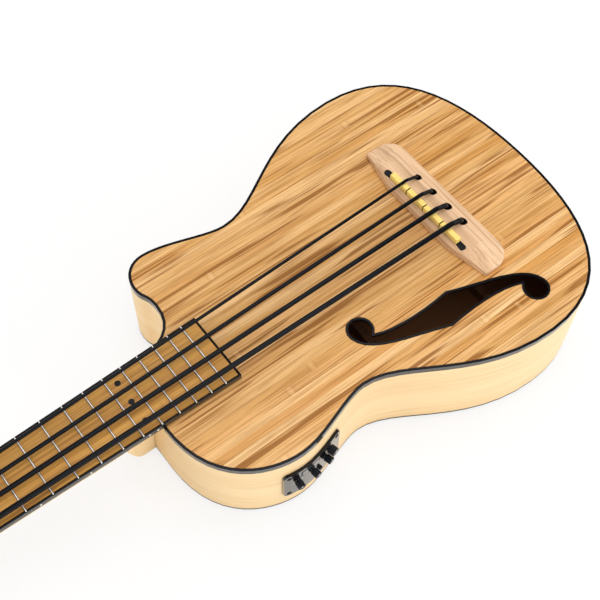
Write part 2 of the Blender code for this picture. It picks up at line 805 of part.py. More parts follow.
def make_fretboard():
    inner = BOARD_BINDING + GAP
    nut_half = board_half(NUT_X)
    end_half = board_half(BOARD_END_X)
    loop = [
        (NUT_X + GAP, -nut_half + inner),
        (BOARD_END_X - inner, -end_half + inner),
        (BOARD_END_X - inner, end_half - inner),
        (NUT_X + GAP, nut_half - inner),
    ]
    board = plate("fretboard", [loop], BOARD_LOW_Z, BOARD_TOP_Z, BOARD_BAMBOO)
    rim = [
        (NUT_X + GAP, -nut_half),
        (BOARD_END_X, -end_half),
        (BOARD_END_X, end_half),
        (NUT_X + GAP, nut_half),
        (NUT_X + GAP, nut_half - BOARD_BINDING),
        (BOARD_END_X - BOARD_BINDING, end_half - BOARD_BINDING),
        (BOARD_END_X - BOARD_BINDING, -end_half + BOARD_BINDING),
        (NUT_X + GAP, -nut_half + BOARD_BINDING),
    ]
    plate("fretboard_binding", [rim], BOARD_LOW_Z, BOARD_TOP_Z, BLACK_PLASTIC)
    slot_half = FRET_TANG_WIDTH / 2 + GAP
    for number in range(1, FRET_COUNT + 1):
        x = fret_x(number)
        slot = box(
            f"fret_slot_{number:02d}",
            (x - slot_half, -0.05, BOARD_TOP_Z - FRET_TANG_DEPTH - GAP),
            (x + slot_half, 0.05, BOARD_TOP_Z + 0.002),
        )
        boolean(board, slot)


def make_fret(number):
    """A domed crown over the full width, with a tang that stops short of the binding."""
    x = fret_x(number)
    half = board_half(x) - GAP
    under = BOARD_TOP_Z + GAP
    turn = np.linspace(0, math.pi, 7)
    crown = [(FRET_WIDTH / 2 * math.cos(a), under + FRET_CROWN * math.sin(a)) for a in turn]
    name = f"fret_{number:02d}"
    fret = plate(name, [crown], -half, half, STEEL)
    fret.rotation_euler = (math.pi / 2, 0, 0)
    fret.location.x = x
    tang_half = half - BOARD_BINDING - 2 * GAP
    tang = box(
        f"{name}_tang",
        (x - FRET_TANG_WIDTH / 2, -tang_half, BOARD_TOP_Z - FRET_TANG_DEPTH),
        (x + FRET_TANG_WIDTH / 2, tang_half, under + FRET_CROWN / 2),
    )
    boolean(fret, tang, "UNION")


def string_height(index, over):
    """A string's centre height where its underside clears the board by over."""
    return BOARD_TOP_Z + over + STRING_RADII[index]


def front_view(name, loop, centre_x, length, look):
    """A plate whose outline is seen along X: rows of y and z, of a given length."""
    made = plate(name, [loop], -length / 2, length / 2, look)
    made.rotation_euler = (math.pi / 2, 0, math.pi / 2)
    made.location = (centre_x, 0, 0)
    return made


def make_nut():
    half = board_half(NUT_X)
    top = BOARD_TOP_Z + NUT_PROUD
    loop = [(-half, BOARD_LOW_Z), (half, BOARD_LOW_Z), (half, top)]
    turns = np.linspace(0, -math.pi, 7)
    for i, radius in enumerate(STRING_RADII):
        y = string_y(i, STRING_NUT_PITCH)
        z = string_height(i, STRING_OVER_NUT)
        wall = (radius + GAP) / math.cos(math.pi / 12)
        loop.append((y + wall, top))
        loop += [(y + wall * math.cos(a), z + wall * math.sin(a)) for a in turns]
        loop.append((y - wall, top))
    loop.append((-half, top))
    front_view("nut", loop, NUT_X - NUT_LENGTH / 2, NUT_LENGTH - GAP, BONE)


def make_saddle():
    half = SADDLE_LENGTH / 2
    low = SADDLE_SEAT_Z + GAP + PICKUP_THICK + GAP
    loop = [(-half, low), (half, low), (half, SADDLE_TOP_Z)]
    for i in (1, 0, -1):
        y = i * SADDLE_LENGTH / 4
        slit = SADDLE_SLIT / 2
        floor = SADDLE_TOP_Z - SADDLE_SLIT_DEPTH
        loop += [(y + slit, SADDLE_TOP_Z), (y + slit, floor), (y - slit, floor), (y - slit, SADDLE_TOP_Z)]
    loop.append((-half, SADDLE_TOP_Z))
    front_view("saddle", loop, SADDLE_X, SADDLE_WIDTH, BONE)
    box(
        "pickup_strip",
        (SADDLE_X - SADDLE_WIDTH / 2, -half, SADDLE_SEAT_Z + GAP),
        (SADDLE_X + SADDLE_WIDTH / 2, half, SADDLE_SEAT_Z + GAP + PICKUP_THICK),
        BRASS,
    )


def bridge_loop():
    """Half of the bridge's plan by its corners and a curve, and the rest mirrored."""
    front = SADDLE_X - BRIDGE_FRONT
    back = SADDLE_X + BRIDGE_BACK
    half = BRIDGE_LENGTH / 2
    tip_x = front + BRIDGE_TIP_FROM_FRONT
    end = (back, half - BRIDGE_CORNER_REACH)
    corner = bezier((tip_x + BRIDGE_TIP_LENGTH, half), (0.008, 0), (0, 0.009), end, 5)
    treble = np.vstack([[(front, BRIDGE_FRONT_HALF), (tip_x, half)], corner, [end]])
    bass = treble[::-1] * (1, -1)
    return np.vstack([treble, bass])[::-1]


def chamfer_bridge_front(bridge):
    """Cuts the top edges of the front away, which run from tip to tip in three lines."""
    front = SADDLE_X - BRIDGE_FRONT
    half = BRIDGE_LENGTH / 2
    corner = (front, BRIDGE_FRONT_HALF)
    tip = (front + BRIDGE_TIP_FROM_FRONT, half)
    slope = (tip[0] - corner[0]) / (tip[1] - corner[1])

    def on_front(vert):
        x, y, z = vert.co
        line = front + max(abs(y) - BRIDGE_FRONT_HALF, 0) * slope
        return abs(x - line) < 0.00002 and z > BRIDGE_LOW_Z + 0.0001

    mesh = bmesh.new()
    mesh.from_mesh(bridge.data)
    edges = [edge for edge in mesh.edges if all(on_front(vert) for vert in edge.verts)]
    bmesh.ops.bevel(mesh, geom=edges, offset=BRIDGE_FRONT_CHAMFER, segments=1, affect="EDGES")
    mesh.to_mesh(bridge.data)
    mesh.free()


def make_bridge():
    bridge = plate("bridge", [bridge_loop()], BRIDGE_LOW_Z, BRIDGE_TOP_Z, BRIDGE_WOOD)
    drop = BRIDGE_HEIGHT - BRIDGE_TIP_HEIGHT
    reach = BRIDGE_LENGTH / 2 - BRIDGE_FLAT_Y
    for side in (-1, 1):
        wing = [
            (side * BRIDGE_FLAT_Y, BRIDGE_TOP_Z),
            (side * (BRIDGE_FLAT_Y + reach * 1.2), BRIDGE_TOP_Z - drop * 1.2),
            (side * (BRIDGE_FLAT_Y + reach * 1.2), BRIDGE_TOP_Z + 0.01),
            (side * BRIDGE_FLAT_Y, BRIDGE_TOP_Z + 0.01),
        ]
        name = f"bridge_wing_{'treble' if side > 0 else 'bass'}"
        tool = front_view(name, wing[::side], SADDLE_X + 0.012, 0.08, None)
        boolean(bridge, tool)
    slope_from = SADDLE_X + BRIDGE_BACK - BRIDGE_SLOPE_LENGTH
    slope_loop = [
        (slope_from, -(BRIDGE_TOP_Z + 0.006)),
        (slope_from + 2 * BRIDGE_SLOPE_LENGTH, -(BRIDGE_TOP_Z + 0.006)),
        (slope_from + 2 * BRIDGE_SLOPE_LENGTH, -(BRIDGE_TOP_Z - 2 * BRIDGE_SLOPE_DROP)),
        (slope_from, -BRIDGE_TOP_Z),
    ]
    slope = plate("bridge_back_slope", [slope_loop], -0.1, 0.1)
    slope.rotation_euler = (-math.pi / 2, 0, 0)
    boolean(bridge, slope)
    chamfer_bridge_front(bridge)
    slot_half = SADDLE_WIDTH / 2 + SADDLE_SLOT_EASE
    straight = SADDLE_SLOT_LENGTH / 2 - slot_half
    turn = np.linspace(0, math.pi, 7)
    arc = np.column_stack([slot_half * np.cos(turn), straight + slot_half * np.sin(turn)])
    slot_loop = np.vstack([arc, -arc]) + (SADDLE_X, 0)
    slot = plate("saddle_slot", [slot_loop], SADDLE_SEAT_Z, BRIDGE_TOP_Z + 0.01)
    boolean(bridge, slot)
    for i, radius in enumerate(STRING_RADII):
        bore = radius + STRING_HOLE_EASE
        wide = radius + COUNTERSINK_EASE
        top = BRIDGE_TOP_Z + 0.0005
        profile = [
            (0, top),
            (wide, top),
            (bore, BRIDGE_TOP_Z - COUNTERSINK_DEPTH),
            (bore, BRIDGE_LOW_Z - 0.002),
            (0, BRIDGE_LOW_Z - 0.002),
        ]
        hole = turned(f"bridge_hole_{i + 1}", profile, None, 14)
        hole.location = (STRING_HOLE_X, string_y(i, STRING_SADDLE_PITCH), 0)
        boolean(bridge, hole)


def winding(index):
    """A string's turns up its post, from where it meets the post to its cut end."""
    along, across = TUNERS[index]
    side = 1 if across > 0 else -1
    thick = STRING_RADII[index]
    radius = POST_WAIST_RADIUS + thick + WIND_GAP
    start = np.array([0.0, side * string_y(index, STRING_NUT_PITCH)])
    centre = np.array([along, side * across])
    apart = start - centre
    first = math.atan2(apart[1], apart[0]) + math.acos(radius / np.linalg.norm(apart))
    rise = 2 * thick + WIND_GAP
    steps = round(WIND_TURNS * LOOP_POINTS)
    points = []
    for step in range(steps + 1):
        turn = first + 2 * math.pi * step / LOOP_POINTS
        up = WIND_START + thick + rise * step / LOOP_POINTS
        s = centre[0] + radius * math.cos(turn)
        t = side * (centre[1] + radius * math.sin(turn))
        points.append(head_point(s, t, up))
    return np.array(points)


def least_gap(points, thick):
    """The least gap between one turn of a winding and the rest, measured on its points."""
    least = math.inf
    for i in range(len(points)):
        others = points[i + LOOP_POINTS // 2 :]
        if len(others):
            least = min(least, np.linalg.norm(others - points[i], axis=1).min())
    return least - 2 * thick


def string_route(index):
    """Points from the knot under the bridge plate to the post, with a radius factor each."""
    thick = STRING_RADII[index]
    nut_y = string_y(index, STRING_NUT_PITCH)
    end_y = string_y(index, STRING_SADDLE_PITCH)
    saddle_z = string_height(index, STRING_OVER_SADDLE)
    nut_z = string_height(index, STRING_OVER_NUT)
    plate_z = INNER_HIGH_Z - BRIDGE_PLATE_THICK
    knot = thick * KNOT_SWELL
    knot_z = plate_z - GAP - knot
    route = []
    for share in (1.0, 0.8, 0.3, -0.3, -0.8, -1.0):
        factor = max(KNOT_SWELL * math.sqrt(1 - share**2), 0.8)
        route.append(((STRING_HOLE_X, end_y, knot_z - knot * share), factor))
    rise = saddle_z - BRIDGE_TOP_Z
    reach = STRING_HOLE_BACK - SADDLE_WIDTH / 2 - SADDLE_EASE
    bend = [
        (STRING_HOLE_X, TOP_Z - 0.001),
        (STRING_HOLE_X, BRIDGE_TOP_Z - COUNTERSINK_DEPTH),
        (STRING_HOLE_X - reach * 0.05, BRIDGE_TOP_Z - 0.0012),
        (STRING_HOLE_X - reach * 0.24, BRIDGE_TOP_Z + thick + 0.0014),
        (STRING_HOLE_X - reach * 0.58, BRIDGE_TOP_Z + thick * 0.2 + rise * 0.65),
        (STRING_HOLE_X - reach, saddle_z),
    ]
    for x, z in smooth_path(bend, 2):
        route.append(((x, end_y, z), 1.0))
    route.append(((NUT_X, nut_y, nut_z), 1.0))
    route.append(((HEAD_X - GAP, nut_y, nut_z), 1.0))
    turns = winding(index)
    print(f"string_{index + 1} least gap between turns {least_gap(turns, thick) * 1000:.2f} mm")
    route += [(tuple(point), 1.0) for point in turns]
    return route


def make_string(index):
    data = bpy.data.curves.new(f"string_{index + 1}", "CURVE")
    data.dimensions = "3D"
    data.bevel_depth = STRING_RADII[index]
    data.bevel_resolution = 1
    data.use_fill_caps = True
    route = string_route(index)
    spline = data.splines.new("POLY")
    spline.points.add(len(route) - 1)
    for point, (place, factor) in zip(spline.points, route):
        point.co = (*place, 1)
        point.radius = factor
    curve = bpy.data.objects.new(f"string_{index + 1}_route", data)
    bpy.context.scene.collection.objects.link(curve)
    made = meshed(f"string_{index + 1}", curve, BLACK_RUBBER)
    smooth(made, 60)


def panel_path():
    """The bass side's edge behind the preamp panel, from the head end to the tail end."""
    edge = BASS_EDGE[1:-1]
    ends = (PANEL_X - PANEL_LENGTH / 2, PANEL_X + PANEL_LENGTH / 2)
    inside = edge[(edge[:, 0] > ends[0] + 0.001) & (edge[:, 0] < ends[1] - 0.001), 0]
    xs = np.concatenate([ends[:1], inside, ends[1:]])
    return np.column_stack([xs, np.interp(xs, edge[:, 0], edge[:, 1])])


def panel_spot(x):
    """The point of the panel's outer face at x, and the direction it faces there."""
    path = panel_path()
    ahead = np.gradient(path, axis=0)
    slope = np.interp(x, path[:, 0], ahead[:, 1] / ahead[:, 0])
    facing = Vector((slope, -1, 0)).normalized()
    edge = Vector((x, np.interp(x, path[:, 0], path[:, 1]), 0))
    return edge + facing * (GAP + PANEL_THICK), facing


def rounded_rectangle(length, height, radius, steps=4):
    rows = []
    for quarter, (sx, sy) in enumerate(((1, 1), (-1, 1), (-1, -1), (1, -1))):
        for step in range(steps + 1):
            turn = math.pi / 2 * (quarter + step / steps)
            x = sx * (length / 2 - radius) + radius * math.cos(turn)
            y = sy * (height / 2 - radius) + radius * math.sin(turn)
            rows.append((x, y))
    return rows


def side_view(name, loop, centre, low_y, high_y):
    """A cutter whose outline is seen along Y: rows of x and z about a centre."""
    tool = plate(name, [loop], -high_y, -low_y)
    tool.rotation_euler = (math.pi / 2, 0, 0)
    tool.location = (centre[0], 0, centre[1])
    return tool


def control_places():
    """The panel's controls: a name, x, z, and the radius of its shaft's hole."""
    places = []
    for i in range(3):
        x = PANEL_X + TONE_KNOB_START + i * TONE_KNOB_PITCH
        places.append((f"knob_{i + 1}", x, PANEL_Z + TONE_KNOB_Z, KNOB_RADIUS))
    places.append(("knob_4", PANEL_X + LEVEL_KNOB_X, PANEL_Z + LEVEL_KNOB_Z, LEVEL_KNOB_RADIUS))
    return places


def control_bore(name, x, z, radius, depth):
    """A cutter down a control's axis, from outside the panel to a depth below its face."""
    spot, facing = panel_spot(x)
    spot.z = z
    return rod(f"{name}_bore", spot + facing * 0.01, spot - facing * depth, radius, sides=16)


def stand_on_panel(obj, x, z, lift):
    """Puts a turned control on the panel's face, its own Z pointing out of the side."""
    spot, facing = panel_spot(x)
    spot.z = z
    obj.location = spot + facing * lift
    obj.rotation_euler = facing.to_track_quat("Z", "Y").to_euler()


def make_preamp():
    path = panel_path()
    inner = offset_path(path, -GAP)
    outer = offset_path(path, -GAP - PANEL_THICK)
    low = PANEL_Z - PANEL_HEIGHT / 2
    high = PANEL_Z + PANEL_HEIGHT / 2
    panel = plate("preamp_panel", [strip(outer, inner)], low, high, BLACK_PLASTIC)
    rim = rounded_rectangle(PANEL_LENGTH - 0.0002, PANEL_HEIGHT - 0.0002, PANEL_CORNER)
    boolean(panel, side_view("panel_rim", rim, (PANEL_X, PANEL_Z), -0.2, -0.05), "INTERSECT")
    box_length = PANEL_LENGTH - 2 * BOX_MARGIN
    box_height = PANEL_HEIGHT - 2 * BOX_MARGIN
    window = [
        (-box_length / 2 - GAP, -box_height / 2 - GAP),
        (box_length / 2 + GAP, -box_height / 2 - GAP),
        (box_length / 2 + GAP, box_height / 2 + GAP),
        (-box_length / 2 - GAP, box_height / 2 + GAP),
    ]
    opening = side_view("preamp_window", window, (PANEL_X, PANEL_Z), -0.2, -0.05)
    boolean(bpy.data.objects["side_bass"], opening)
    ends = [PANEL_X - box_length / 2, PANEL_X + box_length / 2]
    inside = path[(path[:, 0] > ends[0] + GAP) & (path[:, 0] < ends[1] - GAP)]
    faces = [(x, float(np.interp(x, path[:, 0], path[:, 1]))) for x in ends]
    back = path[:, 1].min() + BOX_DEPTH
    loop = [faces[0], *map(tuple, inside), faces[1], (ends[1], back), (ends[0], back)]
    case = plate(
        "preamp_box",
        [loop],
        PANEL_Z - box_height / 2,
        PANEL_Z + box_height / 2,
        BLACK_PLASTIC,
    )
    for name, x, z, radius in control_places():
        bore = control_bore(name, x, z, KNOB_SHAFT_RADIUS + RUN_GAP, KNOB_SHAFT_LENGTH)
        boolean(panel, bore)
        boolean(case, bore)
        make_knob(name, x, z, radius)
    x = PANEL_X + BUTTON_X
    z = PANEL_Z + BUTTON_Z
    depth = BUTTON_DEPTH + BUTTON_TRAVEL + GAP
    bore = control_bore("button", x, z, BUTTON_RADIUS + RUN_GAP, depth)
    boolean(panel, bore)
    boolean(case, bore)
    make_button(x, z)


def make_knob(name, x, z, radius):
    """A control's cap and shaft on its own axis, which points out of the side."""
    profile = [
        (0, KNOB_LENGTH),
        (radius - 0.0006, KNOB_LENGTH),
        (radius, KNOB_LENGTH - 0.0006),
        (radius, 0),
        (KNOB_SHAFT_RADIUS, 0),
        (KNOB_SHAFT_RADIUS, -KNOB_SHAFT_LENGTH),
        (0, -KNOB_SHAFT_LENGTH),
    ]
    knob = turned(f"preamp_{name}", profile, BLACK_PLASTIC, 20)
    stand_on_panel(knob, x, z, KNOB_LIFT)


def make_button(x, z):
    profile = [
        (0, BUTTON_PROUD),
        (BUTTON_RADIUS - 0.0003, BUTTON_PROUD),
        (BUTTON_RADIUS, BUTTON_PROUD - 0.0003),
        (BUTTON_RADIUS, -BUTTON_DEPTH),
        (0, -BUTTON_DEPTH),
    ]
    button = turned("preamp_button", profile, BLACK_PLASTIC, 14)
    stand_on_panel(button, x, z, 0)


def make_jack():
    """The endpin jack: strap head and flange outside, barrel inside, socket down its middle."""
    face = JACK_PROUD
    profile = [
        (0, face - JACK_SOCKET_DEPTH),
        (JACK_SOCKET_RADIUS, face - JACK_SOCKET_DEPTH),
        (JACK_SOCKET_RADIUS, face),
        (JACK_HEAD_RADIUS - 0.0008, face),
        (JACK_HEAD_RADIUS, face - 0.0008),
        (JACK_HEAD_RADIUS, face - 0.0030),
        (JACK_NECK_RADIUS, face - 0.0042),
        (JACK_NECK_RADIUS, 0.0030),
        (JACK_FLANGE_RADIUS, 0.0020),
        (JACK_FLANGE_RADIUS, GAP),
        (JACK_RADIUS, GAP),
        (JACK_RADIUS, -JACK_INSIDE),
        (0, -JACK_INSIDE),
    ]
    jack = turned("endpin_jack", profile, BLACK_METAL, 20)
    jack.location = (TAIL_X, 0, JACK_Z)
    jack.rotation_euler = (0, math.pi / 2, 0)


def head_frame():
    """An empty on the head's face at the nut: its X points at the body and its Z out of the face."""
    frame = bpy.data.objects.new("head_frame", None)
    frame.location = (HEAD_X, 0, TOP_Z)
    frame.rotation_euler = (0, -HEAD_ANGLE, 0)
    frame.parent = LAID
    PARTS.objects.link(frame)
    return frame


def make_tuner(number, frame):
    """One machine: housing behind the head, post through it, and key on the worm's axis."""
    along, across = TUNERS[number - 1]
    side = 1 if across > 0 else -1
    under = -HEAD_THICK - GAP
    worm_up = under - WORM_DROP
    worm_along = along + WHEEL_RADIUS + WORM_RADIUS + RUN_GAP
    room = 0.0006
    inner_low = -(worm_along + WORM_RADIUS + room)
    inner_high = -(along - WHEEL_RADIUS - room)
    inner_in = side * (abs(across) - WHEEL_RADIUS - room)
    inner_out = side * (abs(across) + HOUSING_OUT - HOUSING_WALL)
    outer_out = side * (abs(across) + HOUSING_OUT)
    outer_in = inner_in - side * HOUSING_WALL
    floor = under - HOUSING_DEPTH
    tuner = f"tuner_housing_{number}"
    housing = box(
        tuner,
        (inner_low - HOUSING_WALL, min(outer_in, outer_out), floor),
        (inner_high + HOUSING_WALL, max(outer_in, outer_out), under),
        BLACK_METAL,
    )
    bevel(housing, 0.0012, 1)
    collar_end = outer_out + side * COLLAR_LENGTH
    collar = rod(
        f"{tuner}_collar",
        (-worm_along, outer_out - side * 0.0008, worm_up),
        (-worm_along, collar_end, worm_up),
        COLLAR_RADIUS,
        sides=14,
    )
    hollow = box(
        f"{tuner}_hollow",
        (inner_low, min(inner_in, inner_out), floor + HOUSING_WALL),
        (inner_high, max(inner_in, inner_out), under + 0.002),
    )
    shaft_hole = rod(
        f"{tuner}_shaft_hole",
        (-worm_along, inner_out - side * 0.002, worm_up),
        (-worm_along, collar_end + side * 0.002, worm_up),
        WORM_SHAFT_RADIUS + RUN_GAP,
        sides=14,
    )
    boolean(housing, collar, "UNION")
    boolean(housing, hollow)
    boolean(housing, shaft_hole)
    post = make_post(number, along, across, worm_up)
    key = make_key(number, side, worm_along, worm_up, inner_in, inner_out, collar_end)
    for piece in (housing, collar, hollow, shaft_hole, post, key):
        piece.parent = frame
    return key


def make_post(number, along, across, wheel_up):
    """A waisted post with its worm wheel at the foot."""
    wheel_top = wheel_up + WHEEL_THICK / 2
    shaft = POST_WAIST_RADIUS
    profile = [
        (0, POST_HEIGHT),
        (POST_RADIUS - 0.0005, POST_HEIGHT),
        (POST_RADIUS, POST_HEIGHT - 0.0005),
        (POST_RADIUS, POST_HEIGHT - 0.0015),
        (POST_WAIST_RADIUS, POST_HEIGHT - 0.0025),
        (POST_WAIST_RADIUS, WIND_START - 0.0010),
        (POST_RADIUS, WIND_START - 0.0020),
        (POST_RADIUS, wheel_top + 0.001),
        (shaft, wheel_top + 0.0005),
        (shaft, wheel_up - WHEEL_THICK / 2 - 0.0003),
        (0, wheel_up - WHEEL_THICK / 2 - 0.0003),
    ]
    post = turned(f"tuner_post_{number}", profile, STEEL, 16)
    post.location = (-along, across, 0)
    pitch = 2 * math.pi / WHEEL_TEETH
    loop = []
    for tooth in range(WHEEL_TEETH):
        for share, radius in ((0.0, WHEEL_ROOT), (0.3, WHEEL_RADIUS), (0.6, WHEEL_RADIUS), (0.9, WHEEL_ROOT)):
            turn = pitch * (tooth + share)
            loop.append((radius * math.cos(turn), radius * math.sin(turn)))
    wheel = plate(
        f"tuner_wheel_{number}",
        [loop],
        wheel_up - WHEEL_THICK / 2,
        wheel_up + WHEEL_THICK / 2,
    )
    wheel.location = (-along, across, 0)
    wheel.parent = bpy.data.objects["head_frame"]
    boolean(post, wheel, "UNION")
    return post


def make_key(number, side, worm_along, worm_up, inner_in, inner_out, collar_end):
    """A worm, its shaft and the button that turns it, about the shaft's axis."""
    origin = side * abs(inner_out)
    inner_reach = abs(inner_out - inner_in) - 0.0006
    worm_near = 0.0008
    outer_reach = abs(collar_end - inner_out) + BUTTON_GAP
    tip = outer_reach + KEY_BUTTON_LENGTH * 0.7
    profile = [
        (0, tip),
        (WORM_SHAFT_RADIUS, tip),
        (WORM_SHAFT_RADIUS, -worm_near),
        (WORM_RADIUS, -worm_near - 0.0004),
        (WORM_RADIUS, -inner_reach + 0.0004),
        (WORM_RADIUS - 0.0004, -inner_reach),
        (0, -inner_reach),
    ]
    key = turned(f"tuner_key_{number}", profile, BLACK_METAL, 14)
    key.location = (-worm_along, origin, worm_up)
    key.rotation_euler = (-side * math.pi / 2, 0, 0)
    half_width = KEY_BUTTON_WIDTH / 2
    half_thick = KEY_BUTTON_THICK / 2
    near = min(side * outer_reach, side * (outer_reach + KEY_BUTTON_LENGTH))
    button = box(
        f"tuner_button_{number}",
        (-half_width, near, -half_thick),
        (half_width, near + KEY_BUTTON_LENGTH, half_thick),
    )
    button.location = (-worm_along, origin, worm_up)
    button.parent = bpy.data.objects["head_frame"]
    bevel(button, 0.0025, 2)
    boolean(key, button, "UNION")
    return key


def main():
    make_plates()
    make_bindings()
    jack_hole = make_sides()
    make_linings()
    make_blocks(jack_hole)
    make_top_bracing()
    make_back_bracing()
    make_neck()
    make_fretboard()
    for number in range(1, FRET_COUNT + 1):
        make_fret(number)
    make_nut()
    make_bridge()
    make_saddle()
    for index in range(len(STRING_RADII)):
        make_string(index)
    make_preamp()
    make_jack()
    frame = head_frame()
    for number in range(1, len(TUNERS) + 1):
        make_tuner(number, frame)
    bpy.context.view_layer.update()


main()
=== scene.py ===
"""Looks for a bass ukulele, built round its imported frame. Metres, +Z up.

The instrument lies on its back with its tail at +X. New pieces are drawn with the
soundboard level, and lay_down() tilts them onto the back as the frame is.
"""

import json
import math

import bpy
import numpy as np
from bpy.props import FloatProperty, FloatVectorProperty, IntProperty, PointerProperty
from mathutils import Matrix, Quaternion, Vector


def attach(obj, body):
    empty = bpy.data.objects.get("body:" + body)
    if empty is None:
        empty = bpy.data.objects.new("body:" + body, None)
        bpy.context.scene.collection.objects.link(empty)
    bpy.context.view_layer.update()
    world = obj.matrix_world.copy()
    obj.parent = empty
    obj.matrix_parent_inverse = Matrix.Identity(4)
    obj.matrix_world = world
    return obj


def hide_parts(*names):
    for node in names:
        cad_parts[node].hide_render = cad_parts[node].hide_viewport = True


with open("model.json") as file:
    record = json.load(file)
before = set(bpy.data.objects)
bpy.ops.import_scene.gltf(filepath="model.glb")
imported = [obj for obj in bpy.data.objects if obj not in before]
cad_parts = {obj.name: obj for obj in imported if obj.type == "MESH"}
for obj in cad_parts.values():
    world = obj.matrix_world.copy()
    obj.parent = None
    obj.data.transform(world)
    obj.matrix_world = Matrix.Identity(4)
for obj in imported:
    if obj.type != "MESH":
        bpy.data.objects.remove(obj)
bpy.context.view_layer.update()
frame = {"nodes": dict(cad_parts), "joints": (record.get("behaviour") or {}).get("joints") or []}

bl_info = {
    "name": "Bass ukulele",
    "version": (1, 0, 0),
    "blender": (4, 5, 0),
    "location": "View3D > Sidebar > Ukulele",
    "description": "Finishes the packed frame of a bass ukulele and adds its fine pieces",
    "category": "Object",
}

NODES = frame["nodes"]
HELD = "instrument"
LOOKS = {}

# Wood inside the body
INSIDE_NODES = ("neck_block", "tail_block", "lining_top", "lining_back", "top_bracing", "back_bracing")

# Body, neck and frets
BACK_THICK = 0.003
NUT_LENGTH = 0.005
FRET_LIFT = 0.0003
FRET_INSET = 0.0004

# Strips of bamboo and their knuckles
TOP_STRIP = 0.0068
BOARD_STRIP = 0.0050
BACK_STRIP = 0.0075
STRIP_START = 0.31
KNUCKLE_GAP = 0.19
WARMER = (1.10, 0.92, 0.75)

# Position dots: a row across the face, and one on the edge at each fret with its shift
DOT_PROUD = 0.0001
DOT_SUNK = 0.0011
DOT_ROW = (-0.0183, 0.0, 0.0183)
SIDE_DOT_RADIUS = 0.0009
SIDE_DOT_SUNK = 0.0010
SIDE_DOTS = ((5, 0), (7, 0), (9, 0), (12, -0.0035), (12, 0.0035), (3, 0))

# Bridge, its slot with the saddle and the plugs, and its string holes
BRIDGE_HEIGHT = 0.0088
UNDER_BRIDGE = 0.0061
SLOT_LENGTH = 0.0965
SLOT_HALF = 0.0028
SLOT_DEPTH = 0.0060
SADDLE_LENGTH = 0.080
SADDLE_WIDTH = 0.0046
SADDLE_EASE = 0.0012
PLUG_GAP = 0.0001
HOLE_BACK = 0.0165

# Strings, the thinnest first, with their knots and their turns round the posts
STRING_RADII = (0.00130, 0.00165, 0.00195, 0.00215)
KNOT_SWELL = 1.8
KNOT_NECK = 0.8
KNOT_POINTS = 9
POST_WAIST = 0.0030
WIND_START = 0.0048
WIND_GAP = 0.0005
WIND_TURNS = 1.6
WIND_POINTS = 32

# Screws with a crossed slot
SCREW_RISE = 0.0003
SCREW_SUNK = 0.0006
SLIT_WIDTH = 0.0004
SLIT_DEPTH = 0.00035
PANEL_SCREW_RADIUS = 0.0020
GEAR_SCREW_RADIUS = 0.0026

# Preamp's panel, and its window's place from the middle, length and height
PANEL_FROM_JOINT = 0.079
PANEL_BELOW_TOP = 0.0410
PANEL_LENGTH = 0.057
PANEL_HEIGHT = 0.036
SCREW_INSET = 0.0042
SCREW_TURN = 0.4
WINDOW = (-0.0050, 0.0105, 0.0170, 0.0066)

# Each of the window's pieces: name, margin round the window, rise and look
WINDOW_PIECES = (
    ("window_rim", 0.0009, 0.00012, "screw"),
    ("window_glass", 0.0, 0.00022, "glass"),
)

# Knobs, whose stop is an angle in degrees, and the ticks of their dials
KNOB_SIDES = 72
KNOB_ROUNDING = 0.0006
GROOVE_EVERY = 4
GROOVE_SCALE = 0.93
POINTER_WIDTH = 0.0004
POINTER_HEIGHT = 0.0002
KNOB_STOP = 140
KNOB_LIFT = 0.0006
TICKS = 11
TICK_GAP = 0.0009
TICK_SIZE = (0.00018, 0.0006, 0.00012)

# Tuners' places along the head and across it, and the bushings of their posts
TUNER_PLACES = ((0.036, 0.020), (0.086, 0.020), (0.086, -0.020), (0.036, -0.020))
HOUSING_BACK = 0.0243
BUSHING_RADIUS = 0.0062
BUSHING_BORE = 0.0042
BUSHING_RISE = 0.0016
BUSHING_SUNK = 0.0004

# Each of a tuner's pieces: part, name, look, slot, and width and segments of its rounding
MACHINE_PIECES = (
    ("housing", "machine_case", "black_metal", "black_metal", 0.0004, 2),
    ("key", "machine_key", "black_metal", "black_metal", 0.0003, 2),
    ("post", "machine_post", "post", "post_steel", 0.0001, 1),
)

# Stage, with each lamp's name, place, power and size
FLOOR_SIZE = 30
FLOOR_LEVEL = -0.0005
FLOOR_GLOW = 0.75
WORLD_LIGHT = 0.48
WORLD_IN_GLOSS = 0.20
LAMP_AIM = (0.02, 0, 0.05)
LAMPS = (
    ("overhead", (0.25, 0.42, 1.9), 10.0, 1.1),
    ("viewer", (0.10, -0.70, 1.75), 9.0, 1.3),
    ("front", (0.10, -1.7, 0.28), 15.5, 1.2),
    ("head end", (-1.5, 0.3, 0.36), 9.0, 1.0),
    ("end", (1.5, -0.3, 0.8), 8.0, 1.0),
    ("back", (0.6, 1.7, 1.3), 5.0, 1.2),
)

# Camera's place and axes
CAMERA_PLACE = (-0.30011, -0.33680, 0.80076)
CAMERA_RIGHT = (0.790233, -0.610763, 0.050000)
CAMERA_UP = (0.497707, 0.687271, 0.529099)
CAMERA_BACK = (-0.357518, -0.393226, 0.847086)
CAMERA_LENS = 66.577


# Sizes and colours that a user would change
def length_setting(name, description, default):
    return FloatProperty(name=name, description=description, default=default, unit="LENGTH")


def colour_setting(name, description, default):
    return FloatVectorProperty(name=name, description=description, default=default, subtype="COLOR")


